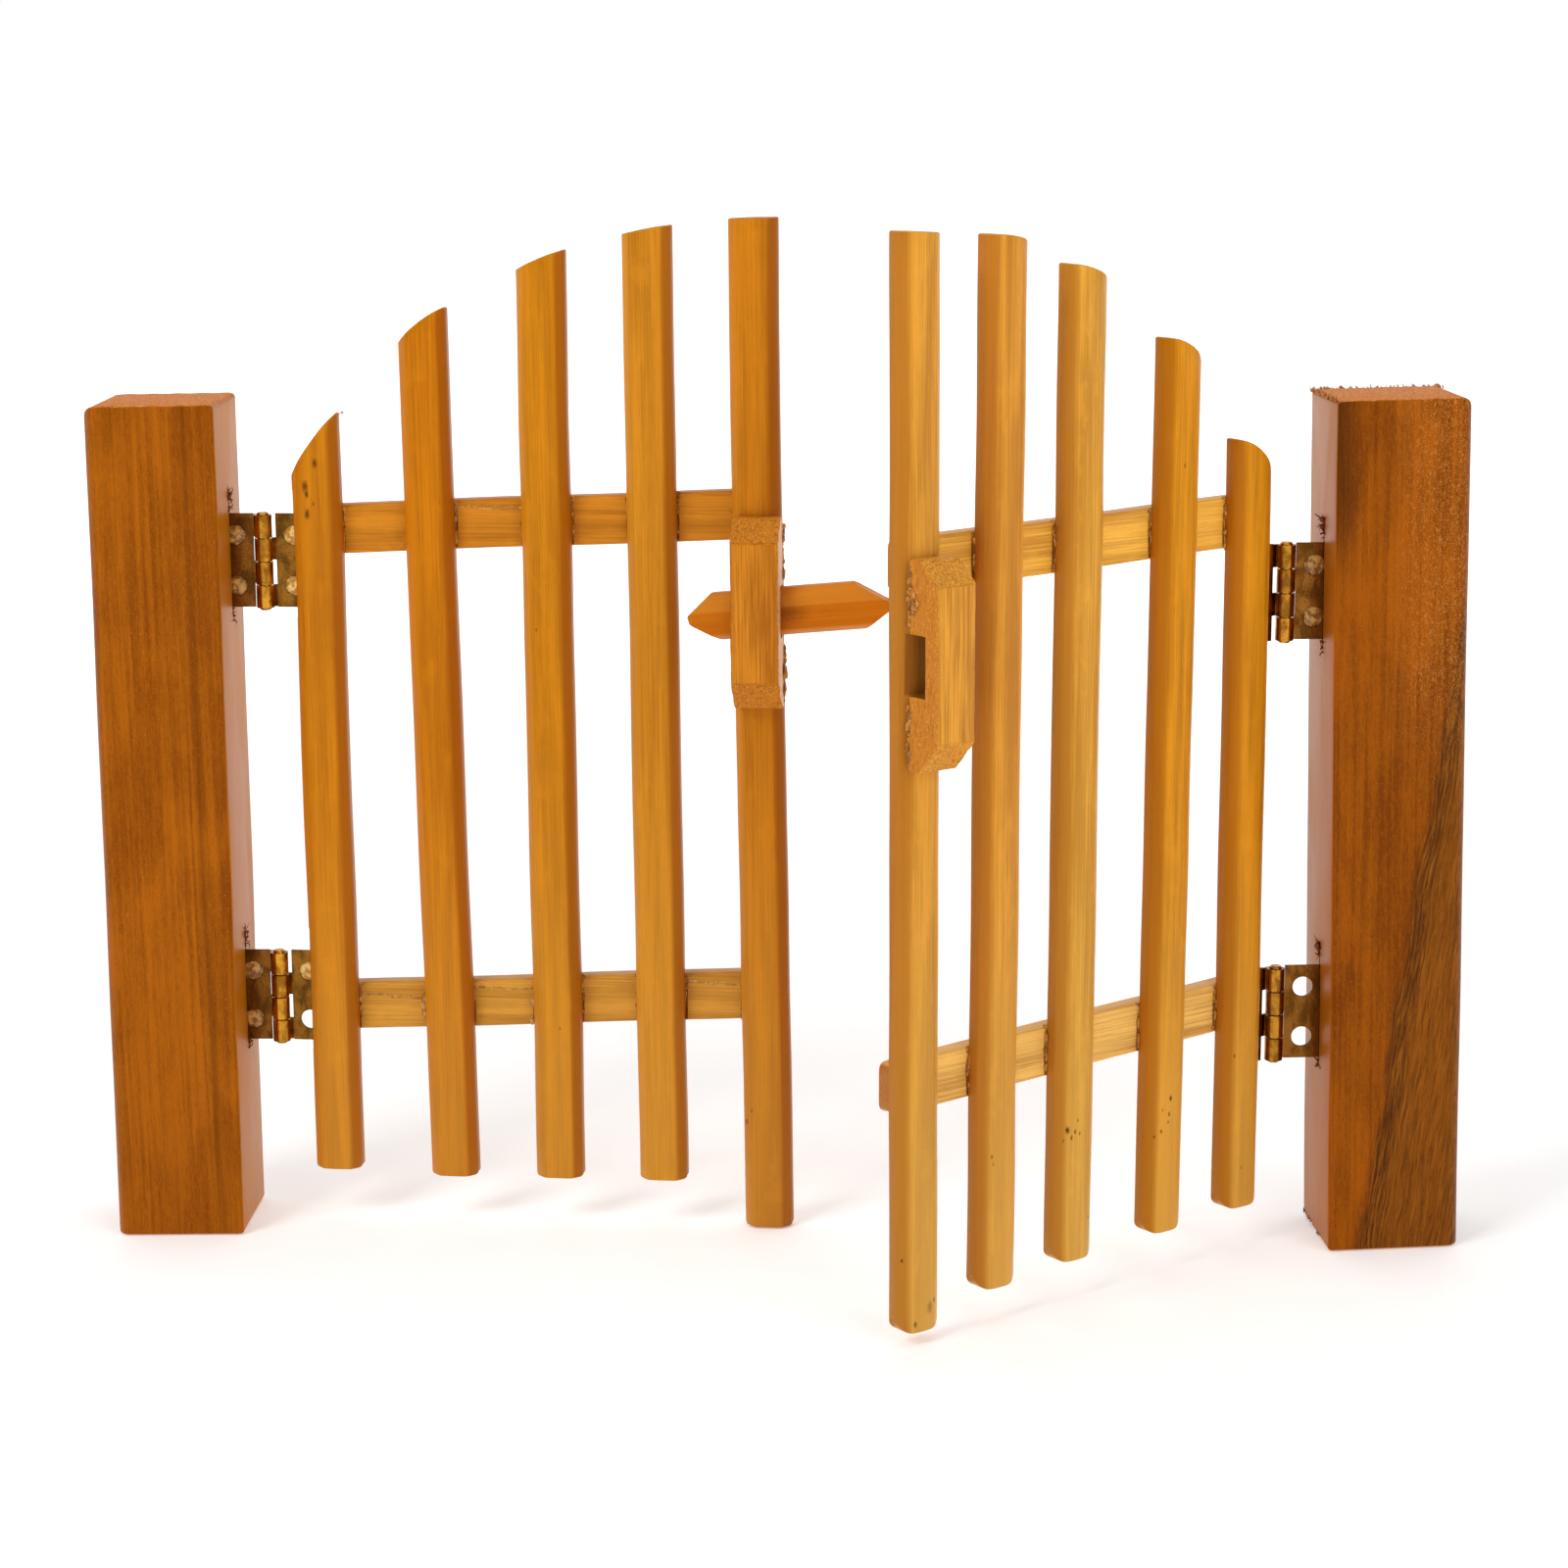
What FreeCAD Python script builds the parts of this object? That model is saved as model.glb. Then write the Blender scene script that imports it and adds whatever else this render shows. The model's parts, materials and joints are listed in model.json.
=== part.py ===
import FreeCAD, Part
import math
import os

V = FreeCAD.Vector

# Garden gate, in millimetres. X runs along the gate line from the left post to the right post,
# Y runs away from the front, Z is up. The origin is the centre of the left post's foot.

# Posts: square timbers, each turned a little on its foot and leaning a little.
LEFT_POST_FOOT = V(0, 0, 0)
LEFT_POST_SIZE = (24.7, 23.5, 161.4)
LEFT_POST_TURN = 5.279
LEFT_POST_LEAN = (2.08, 0.66)
RIGHT_POST_FOOT = V(232.13, 8.09, 0)
RIGHT_POST_SIZE = (24.95, 22.5, 160.4)
RIGHT_POST_TURN = 11.489
RIGHT_POST_LEAN = (0.05, 0.0)
POST_EDGE_ROUND = 0.7
POST_WORN_ROUND = 2.2

# Hinge axes: the point level with the feet and the direction of the pins. A leaf turns on its axis.
LEFT_AXIS = V(19.259, 1.244, 0)
LEFT_AXIS_DIR = V(0.01047, 0.00097, 1)
LEFT_TURN = 0.0
RIGHT_AXIS = V(211.038, 1.097, 0)
RIGHT_AXIS_DIR = V(0.01742, 0.00354, 1)
RIGHT_TURN = 45.0

# Hinges: four knuckles on one pin and a flat plate with two screw holes on each side.
HINGE_HIGH = 18.0
KNUCKLES = 4
KNUCKLE_GAP = 0.25
KNUCKLE_RADIUS = 1.7
PIN_RADIUS = 1.15
PIN_PLAY = 0.05
PIN_STANDS_OUT = 0.35
PIN_END_CHAMFER = 0.25
PLATE_THICK = 0.5
PLATE_REACH = 9.5
PLATE_STARTS = 2.1
PLATE_CORNER = 0.4
PLATE_HOLE_RADIUS = 1.9
PLATE_HOLE_OUT = 5.5
PLATE_HOLE_UP = 4.85
LEFT_HINGES = {"upper": 139.49, "lower": 53.91}
RIGHT_HINGES = {"upper": 133.59, "lower": 53.45}
LEFT_HAND_KNUCKLES = (0, 2)
RIGHT_HAND_KNUCKLES = (1, 3)

# Saw kerfs that take the plates.
KERF_ABOVE = 4.5
KERF_BELOW = 2.0
KERF_PLAY = 0.2
KERF_BEYOND = 0.6

# Pickets, in a leaf's own frame: x out from the axis, y back, z up the axis.
# Each is near edge, width, lean, foot height, and the top's height at the near edge,
# in the middle and at the far edge.
PICKET_BACK = 3.61
PICKET_THICK = 4.32
PICKET_CHAMFER = 1.87
PICKET_FOOT_ROUND = 1.2
LEFT_PICKETS = [
    (5.54, 9.28, -0.0001, 10.1, 146.8, 153.6, 158.6),
    (27.80, 9.34, -0.0121, 9.4, 171.7, 175.8, 178.4),
    (49.71, 9.33, -0.0010, 9.65, 185.5, 187.6, 189.1),
    (69.98, 9.33, -0.0024, 9.9, 192.0, 192.95, 193.6),
    (90.24, 9.24, -0.0069, 1.1, 194.75, 194.95, 195.0),
]
LEFT_LEAN_PIVOT = 93.3
RIGHT_PICKETS = [
    (3.01, 9.40, 0.0027, 8.1, 146.1, 151.7, 153.6),
    (21.95, 9.34, -0.0077, 7.25, 167.8, 171.5, 172.8),
    (44.69, 9.40, -0.0029, 6.45, 183.9, 185.8, 186.7),
    (63.15, 9.33, -0.0031, 5.2, 191.0, 192.0, 192.35),
    (81.81, 9.28, 0.0049, 0.9, 193.0, 193.3, 193.5),
]
RIGHT_LEAN_PIVOT = 97.4

# Rails, behind the pickets: height of the upper edge at the axis, rise per mm out, start, end.
RAIL_HIGH = 9.4
RAIL_THICK = 3.8
RAIL_EDGE_ROUND = 0.6
LEFT_RAILS = {"upper": (140.33, 0.0433, 6.4, 98.3), "lower": (46.27, 0.0531, 6.4, 98.3)}
RIGHT_RAILS = {"upper": (142.91, -0.0173, 3.9, 88.5), "lower": (51.95, -0.0291, 3.9, 90.0)}

# Latch: the guide block on the left leaf, the keeper on the right leaf and the bolt between.
BLOCK_DEEP = 7.5
BLOCK_BEVEL_DEEP = 4.7
BLOCK_TOP_BEVEL = 3.9
BLOCK_FOOT_BEVEL = 5.1
BLOCK_EDGE_ROUND = 0.35
GUIDE_BLOCK = (90.6, 99.7, 104.1, 140.0)
KEEPER_BLOCK = (81.8, 90.3, 102.4, 138.9)
KEEPER_SLOT_FOOT = 115.45
KEEPER_SLOT_HIGH = 10.6
SLOT_DEEP = 4.5
GUIDE_PLAY = 0.4
BOLT_CENTRE = (100.85, 122.63)
BOLT_TILT = 5.1
BOLT_THICK = 3.4
BOLT_OFF_PICKET = 0.45
BOLT_HALF_HIGH = 4.45
BOLT_TOP_CHAMFER = 1.6
BOLT_FOOT_CHAMFER = 1.0
BOLT_CORNER_ROUND = 0.7
BOLT_LEFT_NOSE = [(-13.3, -4.45), (-18.6, -1.2), (-19.2, 0.5), (-14.5, 4.45)]
BOLT_RIGHT_NOSE = [(12.8, 4.45), (19.2, 0.45), (19.2, -1.4), (14.6, -4.45)]

TALL = 260.0
CUT_OVER = 1.0
PICKET_FRONT = PICKET_BACK - PICKET_THICK
PLATE_FRONT = KNUCKLE_RADIUS - PLATE_THICK


def prism(points, direction):
    """Solid swept from a closed polygon along a direction."""
    return Part.Face(Part.makePolygon(points + points[:1])).extrude(direction)


def block(low, high):
    """Box between two corners."""
    return Part.makeBox(high.x - low.x, high.y - low.y, high.z - low.z, low)


def edges_along(solid, axis):
    """Straight edges that run nearly along a direction."""
    found = []
    for edge in solid.Edges:
        if isinstance(edge.Curve, Part.Line):
            if abs(edge.tangentAt(edge.FirstParameter).dot(axis)) > 0.99:
                found.append(edge)
    return found


def turned_frame(origin, up, across):
    """Frame with z along up, x as near to across as it can be, y to the back."""
    z = V(up).normalize()
    x = (across - z * across.dot(z)).normalize()
    return FreeCAD.Placement(origin, FreeCAD.Rotation(x, z.cross(x), z, "ZXY"))


def heading(turn):
    """Unit vector in the ground plane, turn degrees from X."""
    return V(math.cos(math.radians(turn)), math.sin(math.radians(turn)), 0)


def leaf_frame(axis, up, turn):
    """Frame of a leaf that is turned about its leaning axis."""
    spin = FreeCAD.Placement(V(0, 0, 0), FreeCAD.Rotation(V(0, 0, 1), turn))
    return turned_frame(axis, up, V(1, 0, 0)).multiply(spin)


def save(name, solid, frame):
    """Place a solid and write it as one STEP file."""
    placed = solid.copy()
    placed.Placement = frame.multiply(placed.Placement)
    placed.exportStep("parts/" + name + ".step")


def post(size, lean, worn_side):
    """Leaning square timber with eased edges; one front edge is worn rounder."""
    wide, deep, high = size
    x, y = wide / 2, deep / 2
    foot = [V(-x, -y, 0), V(x, -y, 0), V(x, y, 0), V(-x, y, 0)]
    timber = prism(foot, V(lean[0], lean[1], high))
    worn = []
    eased = []
    for edge in edges_along(timber, V(0, 0, 1)):
        at = edge.CenterOfMass
        is_worn = at.y < 0 and (at.x - lean[0] / 2) * worn_side > 0
        (worn if is_worn else eased).append(edge)
    timber = timber.makeFillet(POST_WORN_ROUND, worn)
    eased = []
    for edge in edges_along(timber, V(0, 0, 1)):
        at = edge.CenterOfMass
        away = (at.x - lean[0] / 2) * worn_side < 0
        if away or at.y > 0:
            eased.append(edge)
    return timber.makeFillet(POST_EDGE_ROUND, eased)


def kerf(out_low, out_high, top):
    """Slot that the saw left for one hinge plate, in a hinge frame with x toward the plate."""
    low = V(out_low, PLATE_FRONT - KERF_PLAY, top - HINGE_HIGH - KERF_BELOW)
    high = V(out_high, KNUCKLE_RADIUS + KERF_PLAY, top + KERF_ABOVE)
    return block(low, high)


def mirrored(solid, side):
    """The solid itself for side 1, its mirror in x for side -1."""
    return solid if side > 0 else solid.mirror(V(0, 0, 0), V(1, 0, 0))


def hinge_plate(top, side, own, bore):
    """Plate with its rolled knuckles; x runs from the pin toward the plate."""
    foot = top - HINGE_HIGH
    low = V(PLATE_STARTS, PLATE_FRONT, foot)
    plate = block(low, V(PLATE_REACH, KNUCKLE_RADIUS, top))
    corners = [edge for edge in edges_along(plate, V(0, 1, 0)) if edge.CenterOfMass.x > PLATE_STARTS + 1]
    plate = plate.makeFillet(PLATE_CORNER, corners)
    pitch = HINGE_HIGH / KNUCKLES
    barrel = []
    for index in own:
        z = top - (index + 1) * pitch + KNUCKLE_GAP / 2
        high = pitch - KNUCKLE_GAP
        roll = Part.makeCylinder(KNUCKLE_RADIUS, high, V(0, 0, z))
        tongue = block(V(0, PLATE_FRONT, z), V(PLATE_STARTS + 0.2, KNUCKLE_RADIUS, z + high))
        barrel += [roll, tongue]
    plate = plate.multiFuse(barrel)
    tools = [Part.makeCylinder(bore, HINGE_HIGH, V(0, 0, foot))]
    for up in (-PLATE_HOLE_UP, PLATE_HOLE_UP):
        at = V(PLATE_HOLE_OUT, 0, top - HINGE_HIGH / 2 + up)
        tools.append(Part.makeCylinder(PLATE_HOLE_RADIUS, 2 * KNUCKLE_RADIUS, at, V(0, 1, 0)))
    return mirrored(plate.cut(tools).removeSplitter(), side)


def hinge_pin(top):
    """Pin that runs through all four knuckles."""
    high = HINGE_HIGH + 2 * PIN_STANDS_OUT
    pin = Part.makeCylinder(PIN_RADIUS, high, V(0, 0, top - HINGE_HIGH - PIN_STANDS_OUT))
    rims = [edge for edge in pin.Edges if isinstance(edge.Curve, Part.Circle)]
    return pin.makeChamfer(PIN_END_CHAMFER, rims)


def picket(spec, pivot):
    """Slat with a rounded foot, a curved top and chamfered front edges."""
    near, wide, lean, foot, top_near, top_mid, top_far = spec

    def at(across, z):
        return V(near + across + lean * (z - pivot), PICKET_FRONT, z)

    r = PICKET_FOOT_ROUND
    q = r * (1 - math.sqrt(0.5))
    outline = [
        Part.makeLine(at(0, top_near), at(0, foot + r)),
        Part.Arc(at(0, foot + r), at(q, foot + q), at(r, foot)).toShape(),
        Part.makeLine(at(r, foot), at(wide - r, foot)),
        Part.Arc(at(wide - r, foot), at(wide - q, foot + q), at(wide, foot + r)).toShape(),
        Part.makeLine(at(wide, foot + r), at(wide, top_far)),
        Part.Arc(at(wide, top_far), at(wide / 2, top_mid), at(0, top_near)).toShape(),
    ]
    slab = Part.Face(Part.Wire(outline)).extrude(V(0, PICKET_THICK, 0))
    c = PICKET_CHAMFER
    wedges = []
    for corner, inward in ((0, 1), (wide, -1)):
        ring = []
        for x, y in ((-CUT_OVER, -CUT_OVER), (c + CUT_OVER, -CUT_OVER), (-CUT_OVER, c + CUT_OVER)):
            ring.append(at(corner + inward * x, 0) + V(0, y, 0))
        wedges.append(prism(ring, V(lean * TALL, 0, TALL)))
    return slab.cut(wedges)


def rail(spec):
    """Flat rail with eased edges that lies against the pickets' backs."""
    height, rise, start, end = spec
    low = PICKET_BACK
    corners = []
    for x, down in ((start, RAIL_HIGH), (end, RAIL_HIGH), (end, 0), (start, 0)):
        corners.append(V(x, low, height + rise * x - down))
    bar = prism(corners, V(0, RAIL_THICK, 0))
    return bar.makeFillet(RAIL_EDGE_ROUND, bar.Edges)


def latch_block(spec):
    """Block against the picket's front, bevelled above and below."""
    near, far, foot, top = spec
    back = PICKET_FRONT
    front = back - BLOCK_DEEP
    knee = front + BLOCK_BEVEL_DEEP
    profile = [
        V(near, back, foot),
        V(near, knee, foot),
        V(near, front, foot + BLOCK_FOOT_BEVEL),
        V(near, front, top - BLOCK_TOP_BEVEL),
        V(near, knee, top),
        V(near, back, top),
    ]
    solid = prism(profile, V(far - near, 0, 0))
    eased = [edge for edge in solid.Edges if edge.CenterOfMass.y < back - 0.01]
    return solid.makeFillet(BLOCK_EDGE_ROUND, eased)


def bolt_frame():
    """Frame of the sliding bolt in the left leaf: x along the bolt, its back face at y = 0."""
    x, z = BOLT_CENTRE
    turn = FreeCAD.Rotation(V(0, 1, 0), -BOLT_TILT)
    return FreeCAD.Placement(V(x, PICKET_FRONT - BOLT_OFF_PICKET, z), turn)


def bolt():
    """Flat bolt with a blunt nose at each end and chamfered front edges."""
    outline = [V(x, 0, z) for x, z in BOLT_LEFT_NOSE + BOLT_RIGHT_NOSE]
    slab = prism(outline, V(0, -BOLT_THICK, 0))
    slab = slab.makeFillet(BOLT_CORNER_ROUND, edges_along(slab, V(0, 1, 0)))
    half = BOLT_HALF_HIGH
    start = -TALL / 2
    section = [
        V(start, 0, -half),
        V(start, 0, half),
        V(start, BOLT_TOP_CHAMFER * 0.6 - BOLT_THICK, half),
        V(start, -BOLT_THICK, half - BOLT_TOP_CHAMFER),
        V(start, -BOLT_THICK, BOLT_FOOT_CHAMFER - half),
        V(start, BOLT_FOOT_CHAMFER - BOLT_THICK, -half),
    ]
    return slab.common(prism(section, V(TALL, 0, 0)))


def guide_slot():
    """Tilted channel through the guide block, in the left leaf's frame."""
    reach = BOLT_HALF_HIGH + GUIDE_PLAY
    ahead = PICKET_FRONT - BOLT_OFF_PICKET
    low = V(-TALL / 2, PICKET_FRONT - SLOT_DEEP - ahead, -reach)
    channel = block(low, V(TALL / 2, PICKET_FRONT - ahead + 1, reach))
    channel.Placement = bolt_frame()
    return channel


def keeper_slot():
    """Level channel through the keeper block, in the right leaf's mirrored frame."""
    low = V(0, PICKET_FRONT - SLOT_DEEP, KEEPER_SLOT_FOOT)
    return block(low, V(TALL, PICKET_FRONT + 1, KEEPER_SLOT_FOOT + KEEPER_SLOT_HIGH))


def build_leaf(name, side, frame, pickets, pivot, rails, hinges, own):
    """Pickets, rails and leaf-side hinge plates of one leaf."""
    for number, spec in enumerate(pickets, 1):
        slat = picket(spec, pivot)
        if number == 1:
            slots = [kerf(0, PLATE_REACH + KERF_BEYOND, top) for top in hinges.values()]
            slat = slat.cut(slots)
        save(name + "_picket_" + str(number), mirrored(slat, side), frame)
    for level, spec in rails.items():
        save(name + "_" + level + "_rail", mirrored(rail(spec), side), frame)
    for level, top in hinges.items():
        plate = hinge_plate(top, side, own, PIN_RADIUS + PIN_PLAY)
        save(name + "_" + level + "_hinge_leaf_plate", plate, frame)


def build_post(name, side, post_data, axis, up, hinges, own):
    """One post with its kerfs, post-side hinge plates and pins."""
    foot, size, turn, lean, worn_side = post_data
    foot_frame = FreeCAD.Placement(foot, FreeCAD.Rotation(V(0, 0, 1), turn))
    pin_frame = turned_frame(axis, up, heading(turn))
    timber = post(size, lean, worn_side)
    timber.Placement = foot_frame
    slots = []
    for level, top in hinges.items():
        slot = mirrored(kerf(0, PLATE_REACH + KERF_BEYOND, top), side)
        slot.Placement = pin_frame.multiply(slot.Placement)
        slots.append(slot)
        plate = hinge_plate(top, side, own, PIN_RADIUS)
        save(name + "_" + level + "_hinge_post_plate", plate, pin_frame)
        save(name + "_" + level + "_hinge_pin", hinge_pin(top), pin_frame)
    save(name + "_post", timber.cut(slots), FreeCAD.Placement())


os.makedirs("parts", exist_ok=True)
left_leaf = leaf_frame(LEFT_AXIS, LEFT_AXIS_DIR, -LEFT_TURN)
right_leaf = leaf_frame(RIGHT_AXIS, RIGHT_AXIS_DIR, RIGHT_TURN)

left_post_data = (LEFT_POST_FOOT, LEFT_POST_SIZE, LEFT_POST_TURN, LEFT_POST_LEAN, -1)
right_post_data = (RIGHT_POST_FOOT, RIGHT_POST_SIZE, RIGHT_POST_TURN, RIGHT_POST_LEAN, 1)
build_post("left", -1, left_post_data, LEFT_AXIS, LEFT_AXIS_DIR, LEFT_HINGES, LEFT_HAND_KNUCKLES)
build_post("right", 1, right_post_data, RIGHT_AXIS, RIGHT_AXIS_DIR, RIGHT_HINGES, RIGHT_HAND_KNUCKLES)

build_leaf("left", 1, left_leaf, LEFT_PICKETS, LEFT_LEAN_PIVOT, LEFT_RAILS,
           LEFT_HINGES, RIGHT_HAND_KNUCKLES)
build_leaf("right", -1, right_leaf, RIGHT_PICKETS, RIGHT_LEAN_PIVOT, RIGHT_RAILS,
           RIGHT_HINGES, LEFT_HAND_KNUCKLES)

save("latch_guide_block", latch_block(GUIDE_BLOCK).cut(guide_slot()), left_leaf)
save("latch_keeper_block", mirrored(latch_block(KEEPER_BLOCK).cut(keeper_slot()), -1), right_leaf)
save("latch_bolt", bolt(), left_leaf.multiply(bolt_frame()))
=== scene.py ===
import bpy, bmesh, json, math
import numpy as np
from mathutils import Matrix, Vector, noise


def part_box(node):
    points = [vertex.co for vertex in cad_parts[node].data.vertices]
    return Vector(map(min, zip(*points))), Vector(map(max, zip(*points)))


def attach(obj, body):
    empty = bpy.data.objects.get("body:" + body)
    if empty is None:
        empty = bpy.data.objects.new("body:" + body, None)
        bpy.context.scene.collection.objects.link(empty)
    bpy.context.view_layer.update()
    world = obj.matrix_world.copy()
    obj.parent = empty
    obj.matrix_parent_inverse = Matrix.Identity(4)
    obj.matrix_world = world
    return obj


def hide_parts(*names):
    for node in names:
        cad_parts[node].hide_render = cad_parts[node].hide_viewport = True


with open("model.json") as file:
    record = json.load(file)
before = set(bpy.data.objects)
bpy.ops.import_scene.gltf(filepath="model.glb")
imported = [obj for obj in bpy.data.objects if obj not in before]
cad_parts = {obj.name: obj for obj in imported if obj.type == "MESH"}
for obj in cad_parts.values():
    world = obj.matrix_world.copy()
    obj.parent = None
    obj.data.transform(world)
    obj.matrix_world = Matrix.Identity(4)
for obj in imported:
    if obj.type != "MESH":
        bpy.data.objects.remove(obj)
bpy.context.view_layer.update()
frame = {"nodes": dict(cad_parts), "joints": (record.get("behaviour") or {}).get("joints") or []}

MM = 0.001
JOINT = {j["name"]: j for j in frame["joints"]}


# ---------------------------------------------------------------- frames of the parts
def upright(axis):
    a = Vector(axis).normalized()
    return -a if a.z < 0 else a


def frame_on(origin, up, across, side):
    """Matrix from local millimetres (out, back, up) to the row frame."""
    x = (across - up * across.dot(up)).normalized()
    m = Matrix((x, up.cross(x), up)).transposed().to_4x4()
    m.translation = origin
    return m @ Matrix.Diagonal((side * MM, MM, MM, 1))


def turned(origin, up, degrees, side):
    a = math.radians(degrees)
    return frame_on(origin, up, Vector((math.cos(a), math.sin(a), 0)), side)


def points(node, local):
    """A CAD node's vertices in local millimetres."""
    mesh = frame["nodes"][node].data
    co = np.zeros(len(mesh.vertices) * 3)
    mesh.vertices.foreach_get("co", co)
    co = np.c_[co.reshape(-1, 3), np.ones(len(mesh.vertices))]
    return (co @ np.array(local.inverted()).T)[:, :3]


HL, HR = JOINT["left_leaf_hinge"], JOINT["right_leaf_hinge"]
LEAF = {
    "left": turned(Vector(HL["pos_m"]), upright(HL["axis"]), 0, 1),
    "right": turned(Vector(HR["pos_m"]), upright(HR["axis"]), -HR["range_deg"][0], -1),
}
BODY = {"left": "left_leaf", "right": "right_leaf"}


def post_frame(node):
    """A post's own frame: at the middle of its foot, turned so that it boxes the foot most tightly."""
    mm = Matrix.Diagonal((MM, MM, MM, 1))
    co = points(node, mm)
    foot = co[co[:, 2] < 0.05][:, :2]
    centre = (foot.max(0) + foot.min(0)) / 2
    best = min(range(0, 200), key=lambda k: spread(foot, k * 0.1))
    middle = Matrix.Translation((centre[0] * MM, centre[1] * MM, 0))
    return middle @ Matrix.Rotation(math.radians(best * 0.1), 4, "Z") @ mm


def spread(xy, degrees):
    """Area of the box around points in a plane, once they are turned."""
    a = math.radians(degrees)
    r = xy @ np.array([[math.cos(a), -math.sin(a)], [math.sin(a), math.cos(a)]])
    return np.prod(r.max(0) - r.min(0))


# ---------------------------------------------------------------- shader helpers
BUMP_DEPTH = 0.3 * MM
BEVEL_RADIUS = 0.15


class Wood:
    """Small helper that builds one node material."""

    def __init__(self, name):
        self.mat = bpy.data.materials.new(name)
        self.mat.use_nodes = True
        self.tree = self.mat.node_tree
        self.bsdf = self.tree.nodes["Principled BSDF"]

    def node(self, kind, **props):
        n = self.tree.nodes.new(kind)
        for k, v in props.items():
            setattr(n, k, v)
        return n

    def put(self, socket, value):
        """Link another socket or set a value; None leaves the socket as it is."""
        if isinstance(value, bpy.types.NodeSocket):
            self.tree.links.new(value, socket)
        elif value is not None:
            socket.default_value = value

    def attr(self, name, out="Vector"):
        return self.node("ShaderNodeAttribute", attribute_name=name).outputs[out]

    def scale(self, vec, s, shift=(0, 0, 0)):
        n = self.node("ShaderNodeVectorMath", operation="MULTIPLY_ADD")
        self.put(n.inputs[0], vec)
        n.inputs[1].default_value = s
        n.inputs[2].default_value = shift
        return n.outputs[0]

    def noise(self, vec, s, detail=3, rough=0.55, warp=0.0, shift=(0, 0, 0)):
        n = self.node("ShaderNodeTexNoise")
        self.put(n.inputs["Vector"], self.scale(vec, s, shift))
        n.inputs["Scale"].default_value = 1
        n.inputs["Detail"].default_value = detail
        n.inputs["Roughness"].default_value = rough
        n.inputs["Distortion"].default_value = warp
        return n.outputs["Fac"]

    def ramp(self, fac, stops):
        n = self.node("ShaderNodeValToRGB")
        e = n.color_ramp.elements
        while len(e) < len(stops):
            e.new(0.5)
        for k, (p, c) in enumerate(stops):
            e[k].position = p
            e[k].color = (*c, 1) if len(c) == 3 else c
        self.put(n.inputs["Fac"], fac)
        return n.outputs["Color"]

    def step(self, fac, lo, hi, a=0.0, b=1.0):
        n = self.node("ShaderNodeMapRange", interpolation_type="SMOOTHSTEP")
        for k, v in zip(("Value", "From Min", "From Max", "To Min", "To Max"), (fac, lo, hi, a, b)):
            self.put(n.inputs[k], v)
        return n.outputs["Result"]

    def math(self, op, a, b=None):
        n = self.node("ShaderNodeMath", operation=op)
        self.put(n.inputs[0], a)
        self.put(n.inputs[1], b)
        return n.outputs[0]

    def vector(self, op, a, b=None, out="Vector"):
        n = self.node("ShaderNodeVectorMath", operation=op)
        self.put(n.inputs[0], a)
        self.put(n.inputs[1], b)
        return n.outputs[out]

    def add(self, a, b):
        return self.math("ADD", a, b)

    def less(self, a, b):
        return self.math("SUBTRACT", a, b)

    def times(self, first, *others):
        for other in others:
            first = self.math("MULTIPLY", first, other)
        return first

    def weigh(self, *terms):
        """The sum of value times weight over pairs."""
        total = None
        for value, weight in terms:
            term = self.times(value, weight)
            total = term if total is None else self.add(total, term)
        return total

    def band(self, value, lo, hi, soft):
        """1 between lo and hi and 0 outside, with soft edges."""
        rise = self.step(value, lo - soft, lo + soft)
        return self.times(rise, self.step(value, hi + soft, hi - soft))

    def mix(self, fac, a, b):
        n = self.node("ShaderNodeMix", data_type="RGBA")
        self.put(n.inputs["Factor"], fac)
        for s, v in ((n.inputs[6], a), (n.inputs[7], b)):
            self.put(s, v if isinstance(v, bpy.types.NodeSocket) else (*v, 1))
        return n.outputs[2]

    def xyz(self, vec):
        n = self.node("ShaderNodeSeparateXYZ")
        self.put(n.inputs[0], vec)
        return n.outputs

    def finish(self, color, rough, height=None, bump=0.1, edge=0.0, coat=0.0, coat_rough=0.1, metallic=0.0,
               tint=(1, 0.5, 0.12, 1)):
        """Fill in the shader. edge is the radius in mm over which sharp edges are shaded round."""
        inputs = self.bsdf.inputs
        self.put(inputs["Base Color"], color)
        self.put(inputs["Roughness"], rough)
        self.put(inputs["Metallic"], metallic)
        self.put(inputs["Specular IOR Level"], 0.5 if metallic else 0.3)
        self.put(inputs["Specular Tint"], None if metallic else tint)
        self.put(inputs["Coat Weight"], coat)
        self.put(inputs["Coat Roughness"], coat_rough)
        normal = None
        if edge:
            b = self.node("ShaderNodeBevel", samples=4)
            b.inputs["Radius"].default_value = edge * MM
            normal = b.outputs[0]
        if height is not None:
            n = self.node("ShaderNodeBump")
            n.inputs["Strength"].default_value = bump
            n.inputs["Distance"].default_value = BUMP_DEPTH
            self.put(n.inputs["Height"], height)
            self.put(n.inputs["Normal"], normal)
            normal = n.outputs[0]
        self.put(inputs["Normal"], normal)
        return self.mat


def srgb(h):
    """Linear colour of six hexadecimal digits."""
    v = [int(h[k:k + 2], 16) / 255 for k in (0, 2, 4)]
    return tuple(c / 12.92 if c <= 0.04045 else ((c + 0.055) / 1.055) ** 2.4 for c in v)


def scaled(color, *factors):
    """A colour times three factors, or one for all three, kept within 1."""
    return tuple(min(1, c * f) for c, f in zip(color, factors if len(factors) == 3 else factors * 3))


def tones(r, g, b, contrast=0.2):
    """Light, middle and dark around one mean colour, given as 8-bit sRGB."""
    m = srgb(f"{r:02X}{g:02X}{b:02X}")
    return scaled(m, 1 + contrast), m, scaled(m, *(1 - k * contrast for k in (0.8, 1.15, 1.4)))


# specks are drawn out along the grain: their height counts by this much less
SPECK_LENGTH = 0.55


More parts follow.
